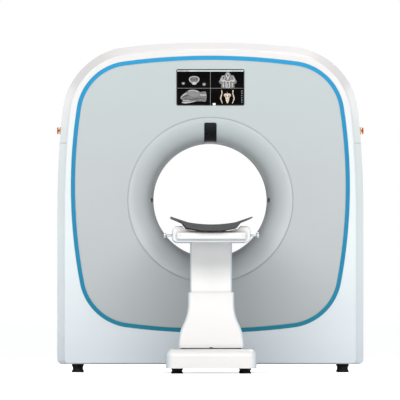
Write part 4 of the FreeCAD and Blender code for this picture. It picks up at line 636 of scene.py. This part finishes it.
def makeFootSeal(look):
    shape = bmesh.new()
    rows = []
    for half, corner, height in ((look["outer"], look["outerCorner"], look["low"]),
                                 (look["outer"], look["outerCorner"], look["high"]),
                                 (look["inner"], look["innerCorner"], look["high"]),
                                 (look["inner"], look["innerCorner"], look["low"])):
        rows.append([shape.verts.new((x, look["middleY"] + y, height))
                     for x, y in roundedLoop(half, corner, look["steps"])])
    for a, b in zip(rows, rows[1:] + rows[:1]):
        for i in range(len(a)):
            shape.faces.new((a[i - 1], a[i], b[i], b[i - 1]))
    half, corners = look["tabHalf"], []
    for z, share in ((look["low"], 1.0), (look["tabTop"], look["tabTaper"])):
        for x, y in ((-half, look["tabFront"]), (half, look["tabFront"]), (half, look["tabBack"]),
                     (-half, look["tabBack"])):
            corners.append(shape.verts.new((x * share, y, z)))
    for ring in ((0, 1, 2, 3), (4, 5, 6, 7), (0, 1, 5, 4), (1, 2, 6, 5), (2, 3, 7, 6), (3, 0, 4, 7)):
        shape.faces.new([corners[k] for k in ring])
    linkPiece("footSeal", shape, finishes["foot_rubber"], "gantry")


# small domed caps over the end pad's two screws
padCap = {"reach": 0.157, "height": 0.679, "radius": 0.0085, "dome": 0.0030, "steps": 24, "rings": 5}


def makePadCap(name, side, look):
    low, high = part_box("end_pad")
    shape = bmesh.new()
    rows = []
    for k in range(look["rings"]):
        angle = k / look["rings"] * math.pi / 2
        rows.append([shape.verts.new((side * look["reach"] + look["radius"] * math.cos(angle) * math.cos(t),
                                      low.y - look["dome"] * math.sin(angle),
                                      look["height"] + look["radius"] * math.cos(angle) * math.sin(t)))
                     for t in (i * math.tau / look["steps"] for i in range(look["steps"]))])
    for a, b in zip(rows, rows[1:]):
        for i in range(look["steps"]):
            shape.faces.new((a[i - 1], a[i], b[i], b[i - 1]))
    shape.faces.new(rows[-1])
    shape.faces.new(rows[0])
    for face in shape.faces:
        face.smooth = True
    linkPiece(name, shape, couchPaint, "couch_lift")


makeFootSeal(footSeal)
makePadCap("padCapLeft", -1, padCap)
makePadCap("padCapRight", 1, padCap)
print("seal and caps built")


# flat lit shapes on the display: smooth closed outlines, cut out and given a little depth
def smoothLoop(points, steps):
    found = []
    count = len(points)
    for i in range(count):
        before, start, end, after = (Vector(points[(i + k) % count]) for k in (-1, 0, 1, 2))
        for k in range(steps):
            t = k / steps
            found.append(0.5 * ((2 * start) + (end - before) * t
                                + (2 * before - 5 * start + 4 * end - after) * t * t
                                + (3 * start - before - 3 * end + after) * t ** 3))
    return found


def mirrored(points):
    # the right-hand half of an outline, top to bottom, with its other half added
    return points + [(-x, z) for x, z in reversed(points) if abs(x) > 1e-6]


def litShape(name, outline, centre, size, layer, finish, steps=5):
    edge = smoothLoop(outline, steps) if steps else [Vector(p) for p in outline]
    shape = bmesh.new()
    front = screen["front"] - layer * screen["layer"]
    corners = [shape.verts.new((centre[0] + p.x * size, front, centre[1] + p.y * size)) for p in edge]
    face = shape.faces.new(corners)
    face.normal_update()
    if face.normal.y > 0:
        face.normal_flip()
    bmesh.ops.triangulate(shape, faces=[face])
    skin = bmesh.ops.extrude_face_region(shape, geom=shape.faces[:])
    moved = [v for v in skin["geom"] if isinstance(v, bmesh.types.BMVert)]
    bmesh.ops.translate(shape, verts=moved, vec=(0.0, -screen["layer"], 0.0))
    linkPiece(name, shape, finish, "gantry")


def litFinish(name, dark, bright, grain):
    made, tree, sockets = newFinish(name, Emission_Strength=screen["glow"], Roughness=0.3)
    tissue = noise(tree, places(tree), grain, detail=5.0, rough=0.62)
    colour = mixColours(tree, remap(tree, tissue, fromLow=0.35, fromHigh=0.66), dark, bright)
    feed(tree, sockets["Base Color"], mixColours(tree, screen["dim"], colour, screen["unlit"]))
    feed(tree, sockets["Emission Color"], colour)
    return made


paneLow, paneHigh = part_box("display_glass")
screen = {
    "front": paneLow.y,          # the face of the glass
    "layer": 0.00012,            # depth of one lit layer
    "edge": 0.002,               # bare glass at the top and sides
    "foot": 0.001,               # bare glass below
    "titleTall": 0.0062,         # the pale strip along the top
    "titleShare": 0.99,          # of the glass's width
    "markHalf": 0.0010,          # half the height of the strip's marks
    "titleMarks": [(-0.158, 0.026), (-0.128, 0.020), (0.112, 0.004), (0.124, 0.004), (0.136, 0.004),
                   (0.148, 0.004)],
    "line": 0.0016,              # lines between the four pictures
    "glow": 0.75,
    "dim": 0.6,                  # share of the unlit colour in a lit shape's own colour
    "unlit": (0.01, 0.01, 0.01),
}
middleX = ((paneLow + paneHigh) / 2).x
halfWide = (paneHigh.x - paneLow.x) / 2
halfTall = (paneHigh.z - paneLow.z) / 2
print("screen", round(2000 * halfWide), "by", round(2000 * halfTall), "mm")

softTissue = litFinish("softTissue", (0.035, 0.035, 0.035), (0.17, 0.17, 0.17), 380.0)
dullTissue = litFinish("dullTissue", (0.10, 0.10, 0.10), (0.20, 0.20, 0.20), 420.0)
brightTissue = litFinish("brightTissue", (0.20, 0.20, 0.20), (0.62, 0.62, 0.62), 420.0)
hollow = litFinish("hollow", (0.004, 0.004, 0.004), (0.05, 0.05, 0.05), 260.0)
boneTone = litFinish("boneTone", (0.30, 0.20, 0.14), (0.80, 0.66, 0.52), 190.0)
screenWhite = litFinish("screenWhite", (0.80, 0.82, 0.83), (0.92, 0.93, 0.94), 60.0)
screenLine = litFinish("screenLine", (0.16, 0.16, 0.16), (0.22, 0.22, 0.22), 60.0)
screenStrip = litFinish("screenStrip", (0.52, 0.56, 0.58), (0.60, 0.64, 0.66), 60.0)
screenIcon = litFinish("screenIcon", (0.10, 0.16, 0.22), (0.20, 0.26, 0.32), 60.0)


def bar(name, x0, z0, x1, z1, layer, finish):
    return litShape(name, [(x0, z0), (x1, z0), (x1, z1), (x0, z1)], (0.0, 0.0), 1.0, layer, finish, 0)


top = paneHigh.z - screen["edge"]
pictureTop = top - screen["titleTall"]
titleHalf = halfWide * screen["titleShare"]
bar("screenTitle", middleX - titleHalf, pictureTop, middleX + titleHalf, top, 0, screenStrip)
titleMiddle = top - screen["titleTall"] / 2
for i, (start, wide) in enumerate(screen["titleMarks"]):
    bar("titleMark" + str(i + 1), middleX + start, titleMiddle - screen["markHalf"], middleX + start + wide,
        titleMiddle + screen["markHalf"], 1, hollow)
splitZ = (pictureTop + paneLow.z) / 2
lineHalf = screen["line"] / 2
bar("screenLineTall", middleX - lineHalf, paneLow.z + screen["foot"], middleX + lineHalf, pictureTop, 0,
    screenLine)
bar("screenLineLeft", paneLow.x + screen["edge"], splitZ - lineHalf, middleX - lineHalf, splitZ + lineHalf, 0,
    screenLine)
bar("screenLineRight", middleX + lineHalf, splitZ - lineHalf, paneHigh.x - screen["edge"], splitZ + lineHalf,
    0, screenLine)

# the size of every picture is in metres, its outline in units of that size
bodySlice = {
    "at": (-0.081, 0.043), "size": 0.0265,
    "limbs": [(-2.06, -0.72, 0.32), (1.86, -0.88, 0.34)],
    "limbSides": 9, "limbWave": 0.12, "limbFlat": 0.86, "limbCore": 0.4,
    "skin": mirrored([(0.0, 0.66), (0.50, 0.60), (0.90, 0.34), (0.98, -0.02), (0.76, -0.42), (0.36, -0.66)]),
    "flesh": mirrored([(0.0, 0.54), (0.44, 0.50), (0.76, 0.28), (0.83, -0.02), (0.62, -0.36), (0.28, -0.54)]),
    "middle": mirrored([(0.0, 0.30), (0.13, 0.16), (0.16, -0.10), (0.10, -0.30)]),
    "lung": [(0.26, 0.34), (0.54, 0.28), (0.66, 0.04), (0.50, -0.22), (0.28, -0.02)],
    "spine": mirrored([(0.0, -0.40), (0.16, -0.46), (0.46, -0.72), (0.30, -0.90), (0.10, -0.94)]),
}


def drawBodySlice(look):
    at = (middleX + look["at"][0], splitZ + look["at"][1])
    litShape("sliceSkin", look["skin"], at, look["size"], 0, brightTissue)
    litShape("sliceFlesh", look["flesh"], at, look["size"], 1, softTissue)
    for side in (-1, 1):
        lung = [(x * side, z) for x, z in look["lung"]]
        litShape("sliceLung" + ("Left" if side < 0 else "Right"), lung, at, look["size"], 2, hollow)
    litShape("sliceMiddle", look["middle"], at, look["size"], 2, hollow)
    litShape("sliceSpine", look["spine"], at, look["size"], 3, brightTissue)
    for i, (x, z, r) in enumerate(look["limbs"]):
        turns = (k * math.tau / look["limbSides"] for k in range(look["limbSides"]))
        ring = [(x + r * (1 + look["limbWave"] * math.sin(3 * a + i)) * math.cos(a),
                 z + r * look["limbFlat"] * math.sin(a)) for a in turns]
        litShape("sliceLimb" + str(i + 1), ring, at, look["size"], 0, softTissue)
        core = [(x + look["limbCore"] * (px - x), z + look["limbCore"] * (pz - z)) for px, pz in ring]
        litShape("sliceLimbBone" + str(i + 1), core, at, look["size"], 1, brightTissue)


headSlice = {
    "at": (0.087, 0.001), "size": 0.083,
    "skin": mirrored([(0.0, 1.0), (0.10, 0.94), (0.20, 0.78), (0.34, 0.76), (0.42, 0.62), (0.46, 0.50),
                      (0.54, 0.42), (0.50, 0.30), (0.38, 0.20), (0.36, 0.02)]),
    "cheek": [(0.40, 0.62), (0.44, 0.46), (0.30, 0.36), (0.20, 0.42), (0.12, 0.36), (0.12, 0.44),
              (0.22, 0.50), (0.30, 0.46), (0.37, 0.52)],
    "orbit": [(0.24, 0.72), (0.34, 0.66), (0.34, 0.54), (0.24, 0.52), (0.16, 0.60)],
    "orbitHollow": [(0.24, 0.69), (0.31, 0.64), (0.31, 0.56), (0.24, 0.55), (0.19, 0.61)],
    "brow": mirrored([(0.0, 0.90), (0.07, 0.84), (0.12, 0.72), (0.06, 0.66), (0.03, 0.52)]),
    "browHollow": mirrored([(0.0, 0.85), (0.04, 0.80), (0.07, 0.73), (0.02, 0.69)]),
    "throatWall": mirrored([(0.0, 0.44), (0.10, 0.40), (0.13, 0.26), (0.12, 0.04)]),
    "throat": mirrored([(0.0, 0.40), (0.06, 0.34), (0.07, 0.22), (0.06, 0.06)]),
    "throatBone": mirrored([(0.0, 0.32), (0.022, 0.26), (0.022, 0.08)]),
    "jaw": [(0.22, 0.32), (0.30, 0.28), (0.29, 0.06), (0.24, 0.06), (0.25, 0.24)],
}


def drawHeadSlice(look):
    at = (middleX + look["at"][0], splitZ + look["at"][1])
    litShape("headSkin", look["skin"], at, look["size"], 0, softTissue)
    for word, layer, finish in (("brow", 1, brightTissue), ("browHollow", 2, hollow),
                                ("throatWall", 1, brightTissue), ("throat", 2, hollow),
                                ("throatBone", 3, brightTissue)):
        litShape("head" + word.capitalize(), look[word], at, look["size"], layer, finish)
    for side, hand in ((-1, "Left"), (1, "Right")):
        for word, layer, finish in (("cheek", 1, brightTissue), ("orbit", 1, brightTissue),
                                    ("orbitHollow", 2, hollow), ("jaw", 1, brightTissue)):
            outline = [(x * side, z) for x, z in look[word]]
            litShape("head" + word.capitalize() + hand, outline, at, look["size"], layer, finish)


sideProfile = {
    "at": (-0.084, -0.042), "size": 0.064,
    "skin": [(-1.04, -0.14), (-0.90, 0.12), (-0.66, 0.30), (-0.40, 0.48), (-0.05, 0.54), (0.26, 0.48),
             (0.50, 0.36), (0.97, 0.36), (0.97, -0.34), (0.60, -0.36), (0.20, -0.38), (-0.30, -0.46),
             (-0.66, -0.54), (-0.94, -0.46), (-0.80, -0.30)],
    "brain": [(-0.46, 0.26), (-0.22, 0.42), (0.14, 0.42), (0.44, 0.24), (0.40, 0.06), (0.10, 0.00),
              (-0.26, 0.06)],
    "sinus": [(-0.86, 0.02), (-0.62, 0.14), (-0.40, 0.10), (-0.50, 0.00), (-0.78, -0.06)],
    "nose": [(-1.00, -0.10), (-0.84, 0.04), (-0.58, 0.20), (-0.50, 0.28), (-0.70, 0.22), (-0.92, 0.04)],
    "mouth": [(-0.92, -0.20), (-0.60, -0.14), (-0.20, -0.18), (0.24, -0.10), (0.44, -0.22), (0.10, -0.24),
              (-0.30, -0.26), (-0.66, -0.26)],
    "gullet": [(0.40, -0.06), (0.66, -0.12), (0.94, -0.16), (0.94, -0.22), (0.64, -0.20), (0.40, -0.14)],
    "teeth": [(-0.84, -0.26), (-0.56, -0.24), (-0.30, -0.28), (-0.34, -0.32), (-0.60, -0.30), (-0.82, -0.31)],
    "jaw": [(-0.92, -0.46), (-0.66, -0.40), (-0.20, -0.40), (0.16, -0.34), (-0.10, -0.44), (-0.60, -0.52)],
    "cap": [(-0.40, 0.47), (-0.05, 0.53), (0.28, 0.46), (0.46, 0.34), (0.28, 0.40), (-0.05, 0.47),
            (-0.36, 0.41)],
    "neck": [(0.52, 0.20), (0.74, 0.16), (0.95, 0.18), (0.95, 0.10), (0.74, 0.08), (0.52, 0.10)],
}


def drawSideProfile(look):
    at = (middleX + look["at"][0], splitZ + look["at"][1])
    litShape("profileSkin", look["skin"], at, look["size"], 0, softTissue)
    for word, finish in (("brain", dullTissue), ("sinus", hollow), ("nose", brightTissue), ("mouth", hollow),
                         ("gullet", hollow), ("teeth", brightTissue), ("jaw", brightTissue),
                         ("cap", brightTissue), ("neck", brightTissue)):
        litShape("profile" + word.capitalize(), look[word], at, look["size"], 1, finish)


boneView = {
    "at": (0.085, -0.044), "size": 0.036,
    "hips": mirrored([(0.0, 0.72), (0.06, 0.46), (0.20, 0.50), (0.44, 0.42), (0.48, 0.20), (0.34, 0.02),
                      (0.26, -0.22), (0.20, -0.56), (0.06, -0.84)]),
    "rib": [(0.72, 0.92), (0.86, 0.92), (0.82, 0.50), (0.94, 0.14), (1.00, -0.24), (0.76, -0.84),
            (0.66, -0.82), (0.84, -0.24), (0.78, 0.14), (0.70, 0.52)],
    "hole": [(0.14, 0.22), (0.26, 0.20), (0.25, 0.02), (0.13, 0.04)],
    "marker": (-0.066, -0.038, 0.0145),
    "icons": 6, "iconInset": 0.0095, "iconDrop": 0.014, "iconStep": 0.0112, "iconHalf": 0.0024,
}


def drawBoneView(look):
    at = (middleX + look["at"][0], splitZ + look["at"][1])
    litShape("boneHips", look["hips"], at, look["size"], 0, boneTone)
    for side, word in ((-1, "Left"), (1, "Right")):
        litShape("boneRib" + word, [(x * side, z) for x, z in look["rib"]], at, look["size"], 0, boneTone)
        litShape("boneHole" + word, [(x * side, z) for x, z in look["hole"]], at, look["size"], 1, hollow)
    x, z, side = look["marker"]
    bar("screenMarker", at[0] + x - side / 2, at[1] + z - side / 2, at[0] + x + side / 2,
        at[1] + z + side / 2, 0, screenWhite)
    half = look["iconHalf"]
    for i in range(look["icons"]):
        x, z = paneHigh.x - look["iconInset"], splitZ - look["iconDrop"] - i * look["iconStep"]
        bar("screenIcon" + str(i + 1), x - half, z - half, x + half, z + half, 0, screenIcon)


drawBodySlice(bodySlice)
drawHeadSlice(headSlice)
drawSideProfile(sideProfile)
drawBoneView(boneView)
print("display pictures drawn")

# floor, light and camera
stageLook = {
    "floorSize": 110.0, "floorColour": (0.82, 0.82, 0.82), "floorCloud": (0.80, 0.80, 0.80),
    "floorGlow": 0.66, "sky": 0.40, "skyColour": (0.97, 0.985, 1.0), "skyWhite": 1.0,
}


def makeFloor(look):
    shape = bmesh.new()
    bmesh.ops.create_grid(shape, x_segments=4, y_segments=4, size=look["floorSize"])
    mesh = bpy.data.meshes.new("studioFloor")
    shape.to_mesh(mesh)
    shape.free()
    floor = bpy.data.objects.new("studioFloor", mesh)
    bpy.context.scene.collection.objects.link(floor)
    made, tree, sockets = newFinish("paleFloor", Roughness=0.7, Emission_Color=(1.0, 1.0, 1.0, 1.0))
    cloud = noise(tree, places(tree), size=0.6)
    feed(tree, sockets["Base Color"], mixColours(tree, cloud, look["floorColour"], look["floorCloud"]))
    seen = tree.nodes.new("ShaderNodeLightPath").outputs["Is Camera Ray"]
    feed(tree, sockets["Emission Strength"], maths(tree, "MULTIPLY", seen, look["floorGlow"]))
    mesh.materials.append(made)


def makeSky(look):
    world = bpy.data.worlds.new("studioSky")
    world.use_nodes = True
    tree = world.node_tree
    sky = tree.nodes["Background"].inputs
    sky["Color"].default_value = opaque(look["skyColour"])
    seen = tree.nodes.new("ShaderNodeLightPath").outputs["Is Camera Ray"]
    white = tree.nodes.new("ShaderNodeBackground")
    white.inputs["Strength"].default_value = look["skyWhite"]
    white.inputs["Color"].default_value = (1.0, 1.0, 1.0, 1.0)
    sky["Strength"].default_value = look["sky"]
    chosen = tree.nodes.new("ShaderNodeMixShader")
    feed(tree, chosen.inputs[0], seen)
    tree.links.new(tree.nodes["Background"].outputs[0], chosen.inputs[1])
    tree.links.new(white.outputs[0], chosen.inputs[2])
    tree.links.new(chosen.outputs[0], tree.nodes["World Output"].inputs["Surface"])
    bpy.context.scene.world = world


softBoxes = {
    # place, point lit, width, height, watts, colour
    "keyBox": ((-0.2, -9.0, 3.7), (0.0, 0.2, 0.8), 7.0, 2.8, 680.0, (1.0, 0.99, 0.98)),
    "topBox": ((0.0, 0.6, 6.5), (0.0, 0.6, 0.8), 5.0, 5.0, 60.0, (1.0, 1.0, 1.0)),
    "leftBox": ((-8.0, 2.4, 3.4), (0.0, 0.5, 0.9), 3.0, 3.0, 80.0, (0.95, 0.98, 1.0)),
    "rightBox": ((8.0, 2.4, 3.4), (0.0, 0.5, 0.9), 3.0, 3.0, 80.0, (0.95, 0.98, 1.0)),
    "backBox": ((1.5, 6.4, 8.2), (0.0, 0.8, 0.8), 5.0, 3.0, 560.0, (1.0, 1.0, 1.0)),
}


def makeSoftBox(name, at, aim, wide, tall, watts, colour):
    lamp = bpy.data.lights.new(name, "AREA")
    lamp.shape = "RECTANGLE"
    lamp.size, lamp.size_y = wide, tall
    lamp.energy = watts
    lamp.color = colour
    box = bpy.data.objects.new(name, lamp)
    bpy.context.scene.collection.objects.link(box)
    box.location = at
    box.rotation_euler = (Vector(aim) - Vector(at)).to_track_quat("-Z", "Y").to_euler()
    box.visible_camera = False


cameraLook = {
    "lens": 1600.0, "sensor": 36.0, "fieldWide": 2.000, "aim": (-0.052, 0.480, 0.862), "side": -0.30,
    "tall": 0.42,
}


def makeCamera(look):
    lens = bpy.data.cameras.new("studioCamera")
    lens.lens = look["lens"]
    lens.sensor_width = look["sensor"]
    distance = look["fieldWide"] / 2 / (look["sensor"] / 2 / look["lens"])
    aim = Vector(look["aim"])
    camera = bpy.data.objects.new("studioCamera", lens)
    camera.location = (look["side"], aim.y - distance, look["tall"])
    camera.rotation_euler = (aim - camera.location).to_track_quat("-Z", "Y").to_euler()
    lens.clip_start, lens.clip_end = 1.0, 300.0
    bpy.context.scene.collection.objects.link(camera)
    bpy.context.scene.camera = camera


makeFloor(stageLook)
makeSky(stageLook)
for boxName, boxLook in softBoxes.items():
    makeSoftBox(boxName, *boxLook)
makeCamera(cameraLook)
bpy.context.scene.view_settings.view_transform = "Standard"
print("stage set")
